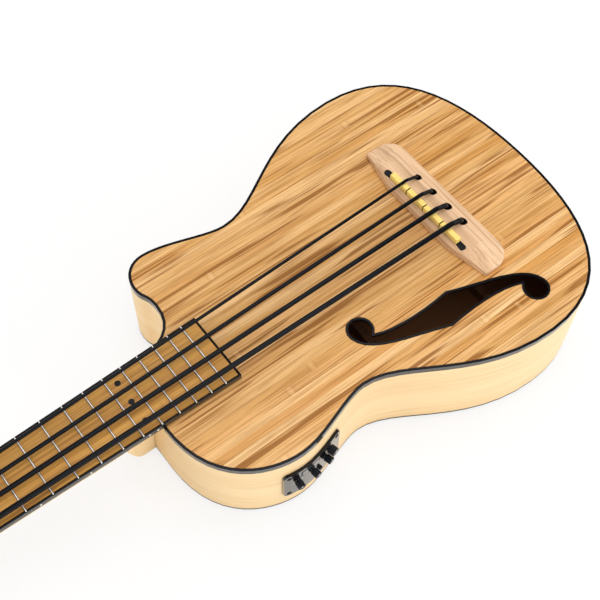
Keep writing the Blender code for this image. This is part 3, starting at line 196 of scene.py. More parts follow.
class UkuleleSizes(bpy.types.PropertyGroup):
    scale: length_setting("Scale", "Nut to twelfth fret, doubled", 0.530)
    joint_x: length_setting("Body joint", "Where the body meets the neck", -0.1361)
    joint_depth: length_setting("Depth at joint", "Body depth at the neck", 0.076)
    tail_depth: length_setting("Depth at tail", "Body depth at the tail", 0.091)
    body_length: length_setting("Body length", "Joint to tail", 0.3772)
    board_rise: length_setting("Fretboard rise", "Soundboard to the fretboard's face", 0.006)
    nut_width: length_setting("Width at nut", "Fretboard's full width at the nut", 0.0465)
    joint_width: length_setting("Width at joint", "Fretboard's full width at the joint", 0.0578)
    frets: IntProperty(name="Frets", description="How many frets", default=16)
    fret_width: length_setting("Fret width", "Width of a fret's crown", 0.0015)
    fret_height: length_setting("Fret height", "Height of a fret's crown", 0.0009)
    nut_pitch: length_setting("Pitch at nut", "String to string at the nut", 0.0120)
    saddle_pitch: length_setting("Pitch at saddle", "String to string at the saddle", 0.0180)
    compensation: length_setting("Compensation", "Extra length at the saddle", 0.0050)
    over_nut: length_setting("Height at nut", "Board to string at the nut", 0.0018)
    over_saddle: length_setting("Height at saddle", "Board level to string at the saddle", 0.0078)
    head_angle: FloatProperty(
        name="Head angle", description="Tilt of the head", default=math.radians(14), subtype="ANGLE"
    )
    dot_radius: length_setting("Dot", "Radius of a position dot", 0.0024)


class UkuleleColours(bpy.types.PropertyGroup):
    top_light: colour_setting("Top, light", "Palest strips of the soundboard", (0.93, 0.605, 0.285))
    top_mid: colour_setting("Top, middle", "Usual strips of the soundboard", (0.62, 0.31, 0.076))
    top_dark: colour_setting("Top, dark", "Streaks in the soundboard", (0.27, 0.092, 0.008))
    side_light: colour_setting("Sides, light", "Palest grain of sides and neck", (0.90, 0.68, 0.38))
    side_dark: colour_setting("Sides, dark", "Darkest grain of sides and neck", (0.82, 0.55, 0.26))
    board_light: colour_setting("Fretboard, light", "Palest strips of the fretboard", (0.72, 0.375, 0.085))
    board_dark: colour_setting("Fretboard, dark", "Streaks in the fretboard", (0.24, 0.085, 0.016))
    bridge_light: colour_setting("Bridge, light", "Palest grain of the bridge", (0.79, 0.52, 0.31))
    bridge_dark: colour_setting("Bridge, dark", "Darkest grain of the bridge", (0.61, 0.37, 0.20))
    bone: colour_setting("Saddle", "Saddle and nut", (0.97, 0.71, 0.20))
    # Painted shade: the inside's colour is darker than the bare wood, for the dark within the body
    inside: colour_setting("Inside", "Bare wood inside the body", (0.320, 0.140, 0.060))


def sizes():
    return bpy.context.scene.ukulele_sizes


def colours():
    return bpy.context.scene.ukulele_colours


# Places that follow from the sizes
def taper():
    s = sizes()
    return (s.tail_depth - s.joint_depth) / s.body_length


def slope():
    """The angle between the soundboard and the back."""
    return math.atan(taper())


def top_z():
    s = sizes()
    return s.joint_depth - taper() * s.joint_x


def board_z():
    return top_z() + sizes().board_rise


def nut_x():
    return sizes().joint_x - sizes().scale / 2


def saddle_x():
    return nut_x() + sizes().scale + sizes().compensation


def board_half(x):
    s = sizes()
    return (s.nut_width + (s.joint_width - s.nut_width) * (x - nut_x()) / (s.scale / 2)) / 2


def fret_x(number):
    return nut_x() + sizes().scale * (1 - 2 ** (-number / 12))


# Modelling
def mode(kind):
    bpy.ops.object.mode_set(mode=kind)


def deselect():
    if bpy.context.object and bpy.context.object.mode != "OBJECT":
        mode("OBJECT")
    for obj in bpy.context.selected_objects:
        obj.select_set(False)


def pick(obj):
    deselect()
    obj.select_set(True)
    bpy.context.view_layer.objects.active = obj
    return obj


def added(name):
    """The object that an operator has just added, given its name."""
    obj = bpy.context.object
    obj.name = name
    obj.data.name = name
    return obj


def apply_modifiers(obj):
    pick(obj)
    for modifier in list(obj.modifiers):
        bpy.ops.object.modifier_apply(modifier=modifier.name)


def settle(obj):
    """Puts an object's place into its mesh."""
    pick(obj)
    bpy.ops.object.transform_apply(location=True, rotation=True, scale=True)
    return obj


def lay_down(obj):
    """Tilts a piece drawn with the soundboard level onto the instrument's back."""
    settle(obj)
    obj.rotation_euler = (0, -slope(), 0)
    return settle(obj)


def round_edges(obj, width, segments=2, angle=35):
    if width > 0:
        rounding = obj.modifiers.new("rounding", "BEVEL")
        rounding.width = width
        rounding.segments = segments
        rounding.limit_method = "ANGLE"
        rounding.angle_limit = math.radians(angle)
    apply_modifiers(obj)


def round_some_edges(obj, width, segments, angle, kept):
    """Rounds the sharp edges whose ends a test picks."""
    pick(obj)
    mode("EDIT")
    bpy.ops.mesh.select_mode(type="EDGE")
    bpy.ops.mesh.select_all(action="DESELECT")
    bpy.ops.mesh.edges_select_sharp(sharpness=math.radians(angle))
    mode("OBJECT")
    for edge in obj.data.edges:
        edge.select = edge.select and all(kept(obj.data.vertices[i].co) for i in edge.vertices)
    mode("EDIT")
    bpy.ops.mesh.bevel(offset=width, segments=segments, affect="EDGES", clamp_overlap=True)
    mode("OBJECT")


def shade(obj, angle=32):
    pick(obj)
    bpy.ops.object.shade_smooth_by_angle(angle=math.radians(angle))
    even = obj.modifiers.new("even", "WEIGHTED_NORMAL")
    even.keep_sharp = True
    apply_modifiers(obj)


def finished(obj, look, body=HELD, replaces=()):
    """Gives a finished piece its look and body, and hides the nodes it stands for."""
    obj.data.materials.clear()
    obj.data.materials.append(LOOKS[look])
    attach(obj, body)
    if replaces:
        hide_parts(*replaces)
    return obj


def merged_copy(node, name):
    """A copy of a frame node with its loose triangles joined and its flat faces made whole."""
    obj = bpy.data.objects.new(name, NODES[node].data.copy())
    obj.data.name = name
    bpy.context.scene.collection.objects.link(obj)
    pick(obj)
    mode("EDIT")
    bpy.ops.mesh.select_all(action="SELECT")
    bpy.ops.mesh.remove_doubles(threshold=0.000002)
    bpy.ops.mesh.dissolve_limited(angle_limit=math.radians(0.4))
    mode("OBJECT")
    return obj


def refined(node, name, look, width, segments=2, body=HELD, edge_angle=35, angle=32):
    """A frame node's shape with rounded edges and smooth shading."""
    obj = merged_copy(node, name)
    round_edges(obj, width, segments, edge_angle)
    shade(obj, angle)
    return finished(obj, look, body, (node,))


def bar(name, radius, start, end, vertices=24):
    """A cylinder primitive between two points."""
    start = Vector(start)
    end = Vector(end)
    along = end - start
    turn = along.to_track_quat("Z", "Y").to_euler()
    deselect()
    bpy.ops.mesh.primitive_cylinder_add(
        vertices=vertices, radius=radius, depth=along.length, location=(start + end) / 2, rotation=turn
    )
    return added(name)


def laid(x, y, z):
    """A place drawn with the soundboard level, in the frame's own axes."""
    return Matrix.Rotation(-slope(), 4, "Y") @ Vector((x, y, z))


def standing(place, away):
    """The matrix that stands a piece at a place, with its Z axis along a direction."""
    return Matrix.Translation(place) @ away.to_track_quat("Z", "Y").to_matrix().to_4x4()


def brick(name, middle, lengths, turn=Quaternion()):
    """A box primitive at a place, turned by a quaternion."""
    deselect()
    bpy.ops.mesh.primitive_cube_add(size=1, location=middle)
    made = added(name)
    made.rotation_euler = turn.to_euler()
    made.scale = lengths
    return settle(made)


def copies(model, places):
    """Copies of a piece that is modelled once, each with its own name, place and mesh."""
    settle(model)
    made = []
    for name, place in places.items():
        piece = model.copy()
        piece.data = model.data.copy()
        piece.name = name
        piece.data.name = name
        bpy.context.scene.collection.objects.link(piece)
        piece.matrix_world = place
        made.append(settle(piece))
    bpy.data.objects.remove(model)
    return made


def set_out(model, places, look):
    """Copies of a piece drawn with the soundboard level, laid down and finished."""
    for piece in copies(model, places):
        lay_down(piece)
        finished(piece, look)


def cut_out(obj, tool):
    """Cuts a shape out of a piece and removes the shape."""
    cut = obj.modifiers.new("cut", "BOOLEAN")
    cut.object = tool
    apply_modifiers(obj)
    bpy.data.objects.remove(tool)


def cross_screw(radius):
    """A screw's head with a crossed slot, facing up at the origin."""
    head = settle(bar("screw", radius, (0, 0, -SCREW_SUNK), (0, 0, SCREW_RISE)))
    round_edges(head, 0.00025)
    for angle in (0, math.pi / 2):
        turn = Quaternion((0, 0, 1), angle)
        cut_out(head, brick("slit", (0, 0, SCREW_RISE), (radius, SLIT_WIDTH, SLIT_DEPTH * 2), turn))
    shade(head)
    return head


def choose(obj, element, wanted):
    """Selects the elements of a mesh that a test picks, and leaves the object in edit mode."""
    pick(obj)
    mode("EDIT")
    bpy.ops.mesh.select_mode(type=element)
    bpy.ops.mesh.select_all(action="DESELECT")
    mode("OBJECT")
    items = {"FACE": obj.data.polygons, "EDGE": obj.data.edges, "VERT": obj.data.vertices}
    for item in items[element]:
        item.select = wanted(item)
    mode("EDIT")


def joined(first, *others):
    """Several objects made one."""
    pick(first)
    for other in others:
        other.select_set(True)
    bpy.ops.object.join()
    return first


# Shader maths
class Field:
    """A node's output that Python arithmetic can use."""

    def __init__(self, finish, socket):
        self.finish = finish
        self.socket = socket

    def math(self, operation, *values):
        return self.finish.node("ShaderNodeMath", {"operation": operation}, dict(enumerate(values)))

    def __add__(self, other):
        return self.math("ADD", self, other)

    __radd__ = __add__

    def __sub__(self, other):
        return self.math("SUBTRACT", self, other)

    def __rsub__(self, other):
        return self.math("SUBTRACT", other, self)

    def __mul__(self, other):
        return self.math("MULTIPLY", self, other)

    __rmul__ = __mul__

    def __truediv__(self, other):
        return self.math("DIVIDE", self, other)

    def floor(self):
        return self.math("FLOOR", self)

    def fraction(self):
        return self.math("FRACT", self)

    def size(self):
        return self.math("ABSOLUTE", self)

    def larger(self, other):
        return self.math("MAXIMUM", self, other)

    def step(self, low, high):
        """0 below low and 1 above high, with a soft change between; low may be the larger."""
        settings = {"interpolation_type": "SMOOTHSTEP"}
        return self.finish.node("ShaderNodeMapRange", settings, {0: self, 1: low, 2: high, 3: 0.0, 4: 1.0})


class Finish:
    """A material whose nodes are made in code."""

    def __init__(self, name):
        self.material = bpy.data.materials.new(name)
        self.material.use_nodes = True
        self.tree = self.material.node_tree
        self.tree.nodes.clear()

    def node(self, kind, settings=None, values=None, output=0):
        made = self.tree.nodes.new(kind)
        for key, value in (settings or {}).items():
            setattr(made, key, value)
        for key, value in (values or {}).items():
            if isinstance(value, Field):
                self.tree.links.new(value.socket, made.inputs[key])
            else:
                made.inputs[key].default_value = value
        return Field(self, made.outputs[output])

    def place(self, turn=(0, 0, 0)):
        """Object coordinates, turned, as three fields."""
        spot = self.node("ShaderNodeTexCoord", output=3)
        spot = self.node("ShaderNodeMapping", {}, {0: spot, 2: turn})
        parts = self.node("ShaderNodeSeparateXYZ", {}, {0: spot})
        return [Field(self, output) for output in parts.socket.node.outputs]

    def join(self, x, y, z):
        return self.node("ShaderNodeCombineXYZ", {}, {0: x, 1: y, 2: z})

    def noise(self, x, y, z, detail=2.0, roughness=0.5):
        values = {0: self.join(x, y, z), 2: 1.0, 3: detail, 4: roughness}
        return self.node("ShaderNodeTexNoise", {}, values)

    def chance(self, number, seed=0.0):
        """The same number from 0 to 1 each time for a whole number."""
        return self.node("ShaderNodeTexWhiteNoise", {"noise_dimensions": "1D"}, {1: number + seed})

    def mix(self, share, first, second):
        values = {0: share, 6: first, 7: second}
        return self.node("ShaderNodeMix", {"data_type": "RGBA"}, values, output=2)

    def bump(self, height, strength, distance):
        values = {"Strength": strength, "Distance": distance, "Height": height}
        return self.node("ShaderNodeBump", {}, values)

    def distance(self, place, middle):
        values = {0: place, 1: middle}
        return self.node("ShaderNodeVectorMath", {"operation": "DISTANCE"}, values, output=1)

    def surface(self, values):
        return self.output(self.node("ShaderNodeBsdfPrincipled", {}, values))

    def output(self, shader):
        """Gives the material its shader."""
        out = self.tree.nodes.new("ShaderNodeOutputMaterial")
        self.tree.links.new(shader.socket, out.inputs[0])
        return self.material


def rgb(colour):
    return (*colour, 1.0)


def toned(colour, factor):
    """A colour made darker or stronger."""
    return rgb([c * factor for c in colour])


def paler(colour):
    return rgb([min(1.0, c * 1.08 + 0.02) for c in colour])


def bamboo(name, light, mid, dark, strip, tilt, coat=0.04, rough=0.40, streaks=1.0, bare=None):
    """Laminated bamboo: strips along X, each with its own tone, fibres, dark streaks and knuckles.

    bare is a height and a colour: the wood above that height has that colour.
    """
    f = Finish(name)
    x, y, z = f.place((0, tilt, 0))
    # Three numbers of its own for each strip
    across = y / strip + STRIP_START
    lane = across.floor()
    own = f.chance(lane)
    other = f.chance(lane, 31.7)
    third = f.chance(lane, 71.3)
    shift = own * 9.0
    # Slow changes along the strips and fine ones across them
    slow = f.noise(x * 6.0 + shift, lane * 3.7, other * 5.0, 1.0)
    broad = f.noise(x * 3.5, y * 30.0, 0.0)
    fibre = f.noise(x * 16.0 + shift, y * 1100.0, z * 40.0, 3.0, 0.65)
    cords = f.noise(x * 11.0 + shift, y * 400.0, 7.0, 1.0, 0.6)
    fine = f.noise(x * 60.0, y * 2400.0, z * 60.0, 2.0, 0.6)
    tone = (own * 0.55 + slow * 0.60 + broad * 0.55 + cords * 0.50).step(0.42, 1.60)
    warm = (slow * 0.6 + other * 0.7).step(0.35, 1.0)
    # Dark streaks, knuckles on some of the strips, and the seams between strips
    where = f.noise(x * 9.0 + shift * 2.0, y * 110.0, third * 4.0, 1.0)
    lines = f.noise(x * 5.0 + shift, y * 430.0, 3.0, 1.0)
    streak = where.step(0.51, 0.60) * lines.step(0.45, 0.53) * streaks
    along = (x / KNUCKLE_GAP + other * 3.0).fraction() - 0.5
    knuckled = third.step(0.62, 0.72)
    band = along.size().step(0.016, 0.004) * knuckled
    rim = along.size().step(0.024, 0.016) * (1.0 - band) * knuckled
    seam = (across.fraction() - 0.5).size().step(0.455, 0.5)
    base = f.mix(tone, rgb(light), rgb(mid))
    base = f.mix(warm * 0.40, base, rgb([c * share for c, share in zip(mid, WARMER)]))
    base = f.mix(cords.step(0.47, 0.64) * 0.26, base, rgb(dark))
    base = f.mix(fibre.step(0.46, 0.64) * 0.34, base, rgb(dark))
    base = f.mix(fine.step(0.48, 0.66) * 0.20, base, rgb(dark))
    base = f.mix(streak * 0.86, base, rgb(dark))
    base = f.mix(rim * 0.14 + seam * own * 0.16, base, rgb(dark))
    base = f.mix(band * (0.04 + fibre * 0.22), base, paler(light))
    if bare:
        above, inner = bare
        base = f.mix(z.step(above - 0.0002, above), base, rgb(inner))
    height = fibre * 0.5 + fine * 0.3 - streak * 0.3 - seam * 0.4
    return f.surface(
        {
            "Base Color": base,
            "Roughness": (fibre * 0.16 + streak * 0.10) + rough - 0.06,
            "Coat Weight": coat,
            "Coat Roughness": 0.28,
            "Specular IOR Level": 0.22,
            "Normal": f.bump(height, 0.22, 0.00012),
        }
    )


def pale_wood(name, light, dark, grain):
    """Pale wood with fine lines along its grain."""
    f = Finish(name)
    x, y, z = f.place()
    gx, gy, gz = grain
    wave = f.noise(x * 9.0, y * 9.0, z * 9.0)
    lines = f.noise(x * gx + wave * 0.8, y * gy + wave * 0.8, z * gz + wave * 2.0, 3.0, 0.6)
    fine = f.noise(x * gx * 3.0, y * gy * 3.0, z * gz * 3.2, 2.0, 0.6)
    broad = f.noise(x * gx * 0.3, y * gy * 0.3, z * gz * 0.12, 1.0)
    tone = (lines * 0.5 + fine * 0.25 + broad * 0.45).step(0.42, 0.84)
    base = f.mix(tone, rgb(light), rgb(dark))
    base = f.mix(lines.step(0.60, 0.74) * 0.20, base, toned(dark, 0.72))
    return f.surface(
        {
            "Base Color": base,
            "Roughness": lines * 0.12 + 0.35,
            "Coat Weight": 0.1,
            "Coat Roughness": 0.3,
            "Specular IOR Level": 0.35,
            "Normal": f.bump(lines * 0.6 + fine * 0.4, 0.15, 0.0001),
        }
    )


def bridge_wood(name, light, dark):
    """The bridge's straight grain, and painted shade inside its slot and string holes."""
    f = Finish(name)
    x, y, z = f.place((0, slope(), 0))
    lines = f.noise(x * 560.0, y * 10.0, z * 300.0, 2.0, 0.6)
    fine = f.noise(x * 1900.0, y * 40.0, z * 1500.0, 2.0, 0.6)
    broad = f.noise(x * 130.0, y * 5.0, z * 60.0, 1.0)
    tone = (lines * 0.5 + fine * 0.2 + broad * 0.55).step(0.48, 0.76)
    base = f.mix(tone, rgb(light), rgb(dark))
    base = f.mix(lines.step(0.52, 0.64) * 0.36, base, toned(dark, 0.58))
    base = f.mix(fine.step(0.50, 0.70) * 0.22, base, toned(dark, 0.50))
    # Painted shade: in the slot and round the string holes, the wood just below the bridge's face is
    # coloured near black
    past_end = (y.size() - (SLOT_LENGTH / 2 - SLOT_HALF)).larger(0.0)
    from_line = f.distance(f.join(x, past_end, 0.0), (saddle_x(), 0.0, 0.0))
    deep = from_line.step(SLOT_HALF + 0.0002, SLOT_HALF)
    for index, radius in enumerate(STRING_RADII):
        hole = (saddle_x() + HOLE_BACK, string_y(index, sizes().saddle_pitch), 0.0)
        from_hole = f.distance(f.join(x, y, 0.0), hole)
        deep = deep.larger(from_hole.step(radius + 0.0022, radius + 0.0019))
    face = top_z() + BRIDGE_HEIGHT
    painted_hole_shade = deep * z.step(face - 0.0001, face - 0.0004)
    base = f.mix(painted_hole_shade, base, rgb((0.004, 0.003, 0.003)))
    return f.surface(
        {
            "Base Color": base,
            "Roughness": lines * 0.12 + 0.38,
            "Specular IOR Level": 0.40,
            "Normal": f.bump(lines * 0.6 + fine * 0.4, 0.15, 0.0001),
        }
    )


def bone_pattern(f, colour, light):
    """Bone's colour with faint clouds and fine dark grain, and those two patterns."""
    x, y, z = f.place()
    cloud = f.noise(x * 180.0, y * 180.0, z * 180.0, 3.0, 0.6)
    grain = f.noise(x * 1500.0, y * 300.0, z * 1500.0)
    base = f.mix(cloud.step(0.35, 0.7), light, toned(colour, 0.88))
    base = f.mix(grain.step(0.55, 0.8) * 0.2, base, toned(colour, 0.6))
    return base, cloud, grain


def saddle_finish(name, colour):
    """Yellowed bone, with painted shade inside its three slits."""
    f = Finish(name)
    base, cloud = bone_pattern(f, colour, rgb(colour))[:2]
    y = f.place()[1]
    quarter = SADDLE_LENGTH / 4
    # Painted shade: near black lines where the three slits part the saddle
    slit = ((y / quarter + 0.5).fraction() - 0.5).size().step(0.0007 / quarter, 0.0004 / quarter)
    slit = slit * y.size().step(quarter * 1.5, quarter * 1.4)
    base = f.mix(slit * 0.9, base, rgb((0.03, 0.012, 0.004)))
    return f.surface({"Base Color": base, "Roughness": cloud * 0.15 + 0.35, "Specular IOR Level": 0.25})


def gloss_black(name, rough, coat, shine, colour=(0.004, 0.004, 0.005)):
    """Black moulded plastic with a faint uneven polish, worn duller where it faces up."""
    f = Finish(name)
    x, y, z = f.place()
    cloud = f.noise(x * 60.0, y * 60.0, z * 60.0)
    speck = f.noise(x * 900.0, y * 900.0, z * 900.0)
    facing = f.node("ShaderNodeNewGeometry", output=1)
    up = f.node("ShaderNodeSeparateXYZ", {}, {0: facing}, output=2)
    return f.surface(
        {
            "Base Color": f.mix(cloud.step(0.3, 0.7), rgb(colour), toned(colour, 1.6)),
            "Roughness": cloud * 0.10 + speck * 0.05 + rough - 0.07,
            "Coat Weight": up.step(0.8, 0.3) * coat,
            "Coat Roughness": 0.08,
            "Specular IOR Level": shine,
            "Normal": f.bump(speck, 0.04, 0.00005),
        }
    )


def string_rubber(name):
    """Black polyurethane cord: satin, with dust-fine grain."""
    f = Finish(name)
    x, y, z = f.place()
    grain = f.noise(x * 500.0, y * 2500.0, z * 2500.0)
    base = f.mix(grain.step(0.4, 0.7), rgb((0.002, 0.0024, 0.0035)), rgb((0.005, 0.006, 0.009)))
    return f.surface(
        {
            "Base Color": base,
            "Roughness": grain * 0.10 + 0.14,
            "Specular IOR Level": 0.12,
            "Normal": f.bump(grain, 0.10, 0.00005),
        }
    )


def metal(name, colour, rough):
    """Polished metal with fine scratches."""
    f = Finish(name)
    x, y, z = f.place()
    scratch = f.noise(x * 3000.0, y * 160.0, z * 1500.0, 2.0, 0.6)
    cloud = f.noise(x * 90.0, y * 90.0, z * 90.0)
    return f.surface(
        {
            "Base Color": f.mix(cloud.step(0.3, 0.75) * 0.5, rgb(colour), toned(colour, 0.8)),
            "Metallic": 1.0,
            "Roughness": scratch * 0.10 + cloud * 0.08 + rough - 0.06,
            "Normal": f.bump(scratch, 0.05, 0.00004),
        }
    )


def fret_metal(name):
    """Nickel wire, with a painted highlight along its crown and painted shade on its flanks."""
    f = Finish(name)
    x, y, z = f.place()
    wear = f.noise(x * 900.0, y * 120.0, z * 900.0)
    facing = f.node("ShaderNodeTexCoord", output=1)
    lean = f.node("ShaderNodeSeparateXYZ", {}, {0: facing}).size()
    # Painted highlight and shade: near white where the wire faces up, near black where it leans to the side
    base = f.mix(lean.step(0.34, 0.66), rgb((0.97, 0.96, 0.94)), rgb((0.11, 0.08, 0.06)))
    return f.surface({"Base Color": base, "Metallic": 0.3, "Roughness": wear * 0.12 + 0.24})


def bone_finish(name, colour):
    """Dyed bone substitute: creamy and a little glossy."""
    f = Finish(name)
    base, cloud, grain = bone_pattern(f, colour, paler(colour))
    return f.surface(
        {
            "Base Color": base,
            "Roughness": cloud * 0.15 + 0.30,
            "Coat Weight": 0.15,
            "Coat Roughness": 0.2,
            "Normal": f.bump(grain, 0.08, 0.00005),
        }
    )


def bare_spruce(name, colour):
    """Unfinished wood inside the body, in a colour darkened as painted shade."""
    f = Finish(name)
    x, y, z = f.place()
    rings = f.noise(x * 12.0, y * 420.0, z * 240.0, 2.0, 0.6)
    pore = f.noise(x * 120.0, y * 1800.0, z * 1800.0)
    return f.surface(
        {
            "Base Color": f.mix(rings.step(0.35, 0.7), rgb(colour), toned(colour, 0.62)),
            "Roughness": pore * 0.2 + 0.62,
            "Normal": f.bump(rings * 0.5 + pore * 0.5, 0.2, 0.0001),
        }
    )


def make_looks():
    """Every finish of the instrument, by name."""
    c = colours()
    tilt = slope()
    board_mid = [v * 0.76 for v in c.board_light]
    back_dark = [v * 0.6 for v in c.side_dark]
    # Painted light: the neck's wood is a lighter copy of the sides', to brighten the heel where it lies in
    # shade
    neck_painted_lighter = [v * 1.06 + 0.02 for v in c.side_light]
    # Painted shade: the back's inner face takes the darkened inside colour
    inner_face_shaded = (BACK_THICK - 0.0003, c.inside)
    LOOKS.update(
        top=bamboo("Top bamboo", c.top_light, c.top_mid, c.top_dark, TOP_STRIP, tilt),
        board=bamboo(
            "Fretboard bamboo", c.board_light, board_mid, c.board_dark, BOARD_STRIP, tilt, 0.05, 0.46, 0.5
        ),
        side=pale_wood("Side veneer", c.side_light, c.side_dark, (10.0, 10.0, 330.0)),
        back=bamboo(
            "Back bamboo", c.side_light, c.side_dark, back_dark, BACK_STRIP, 0.0, 0.1, 0.40, 0.3, inner_face_shaded
        ),
        neck=pale_wood("Neck wood", neck_painted_lighter, c.side_light, (9.0, 260.0, 120.0)),
        bridge=bridge_wood("Bridge wood", c.bridge_light, c.bridge_dark),
        binding=gloss_black("Black binding", 0.22, 0.9, 0.12),
        panel=gloss_black("Preamp plastic", 0.16, 1.0, 0.25),
        glass=gloss_black("Display window", 0.12, 1.0, 0.4, (0.006, 0.010, 0.009)),
        screw=gloss_black("Panel screw", 0.40, 0.0, 0.1),
        knob=gloss_black("Knob plastic", 0.30, 0.05, 0.22, (0.005, 0.006, 0.009)),
        string=string_rubber("String cord"),
        fret=fret_metal("Fret metal"),
        post=metal("Post metal", (0.72, 0.72, 0.72), 0.18),
        black_metal=metal("Black metal", (0.045, 0.045, 0.048), 0.24),
        brass=metal("Pickup metal", (0.70, 0.52, 0.22), 0.35),
        saddle=saddle_finish("Saddle bone", c.bone),
        bone=bone_finish("Nut bone", c.bone),
        pale_dot=bone_finish("Side dot", (0.86, 0.84, 0.78)),
        dark_dot=gloss_black("Board dot", 0.4, 0.0, 0.2),
        slot_end=gloss_black("Slot end", 0.4, 0.0, 0.2),
        mark=bone_finish("Panel marks", (0.80, 0.80, 0.80)),
        inside=bare_spruce("Inside spruce", c.inside),
    )


class UkuleleLooks(bpy.types.Operator):
    """Makes the finishes and gives them to the frame's own nodes"""

    bl_idname = "ukulele.looks"
    bl_label = "Finishes"

    def execute(self, context):
        make_looks()
        kept = {"soundboard": "top", "fretboard": "board", "pickup_strip": "brass", "preamp_box": "knob"}
        # Painted shade: the wood inside the body takes the darkened inside finish
        kept.update(dict.fromkeys(INSIDE_NODES, "inside"))
        for node, look in kept.items():
            NODES[node].data.materials.clear()
            NODES[node].data.materials.append(LOOKS[look])
        return {"FINISHED"}


class UkuleleBody(bpy.types.Operator):
    """Makes the sides, back, bindings and the f-hole's rim"""

    bl_idname = "ukulele.body"
    bl_label = "Body"

    def execute(self, context):
        refined("side_bass", "side_bass_veneer", "side", 0)
        refined("side_treble", "side_treble_veneer", "side", 0)
        refined("back", "back_plate", "back", 0)
        refined("binding_top", "top_binding_strip", "binding", 0.0005, 3)
        refined("binding_back", "back_binding_strip", "binding", 0.0004)
        refined("f_hole_binding", "f_hole_rim", "binding", 0.0003)
        return {"FINISHED"}


class UkuleleNeck(bpy.types.Operator):
    """Makes the neck, the fretboard's binding, the nut and the position dots"""

    bl_idname = "ukulele.neck"
    bl_label = "Neck"

    def execute(self, context):
        refined("neck", "neck_shaft", "neck", 0.0012, 3, edge_angle=50, angle=40)
        refined("fretboard_binding", "fretboard_edging", "binding", 0.0007, 4)
        refined("nut", "nut_block", "bone", 0.0003, edge_angle=50)
        self.board_dots()
        self.side_dots()
        return {"FINISHED"}

    def board_dots(self):
        model = bar("dot", sizes().dot_radius, (0, 0, -DOT_SUNK), (0, 0, DOT_PROUD), 32)
        round_edges(model, 0.0001)
        shade(model)
        middle = (fret_x(11) + fret_x(12)) / 2
        places = {}
        for number, y in enumerate(DOT_ROW, 1):
            places[f"board_dot_{number}"] = Matrix.Translation((middle, y, board_z()))
        set_out(model, places, "dark_dot")

    def side_dots(self):
        model = bar("dot", SIDE_DOT_RADIUS, (0, SIDE_DOT_SUNK, 0), (0, -DOT_PROUD, 0), 20)
        round_edges(model, 0.0001, 1)
        shade(model)
        z = top_z() + sizes().board_rise * 0.55
        places = {}
        for number, (fret, shift) in enumerate(SIDE_DOTS, 1):
            x = (fret_x(fret - 1) + fret_x(fret)) / 2 + shift
            places[f"side_dot_{number}"] = Matrix.Translation((x, -board_half(x), z))
        set_out(model, places, "pale_dot")


class UkuleleFrets(bpy.types.Operator):
    """Makes the frets: half-round wire with domed ends"""

    bl_idname = "ukulele.frets"
    bl_label = "Frets"

    def execute(self, context):
        longest = self.half(sizes().frets)
        numbers = range(1, sizes().frets + 1)
        places = {}
        for number in numbers:
            foot = (fret_x(number), 0, board_z() + FRET_LIFT)
            places[f"fret_wire_{number:02d}"] = Matrix.Translation(foot)
        for number, wire in zip(numbers, copies(self.wire(longest), places)):
            shorter = longest - self.half(number)
            for vert in wire.data.vertices:
                vert.co.y -= math.copysign(shorter, vert.co.y)
            lay_down(wire)
            finished(wire, "fret", HELD, (f"fret_{number:02d}",))
        return {"FINISHED"}

    def half(self, number):
        return board_half(fret_x(number)) - FRET_INSET

    def wire(self, half):
        """A fret across the origin: the upper part of a rounded bar, flattened."""
        radius = sizes().fret_width / 2
        wire = settle(bar("wire", radius, (0, -half, 0), (0, half, 0)))

        def on_rim(edge):
            ends = [wire.data.vertices[i].co.y for i in edge.vertices]
            return abs(ends[0] - ends[1]) < half

        choose(wire, "EDGE", on_rim)
        bpy.ops.mesh.bevel(offset=radius * 0.84, segments=4, affect="EDGES")
        bpy.ops.mesh.select_all(action="SELECT")
        bpy.ops.mesh.bisect(
            plane_co=(0, 0, 0.00002), plane_no=(0, 0, 1), threshold=0.000001, use_fill=True, clear_inner=True
        )
        mode("OBJECT")
        for vert in wire.data.vertices:
            vert.co.z *= sizes().fret_height / radius
        shade(wire, 50)
        return wire


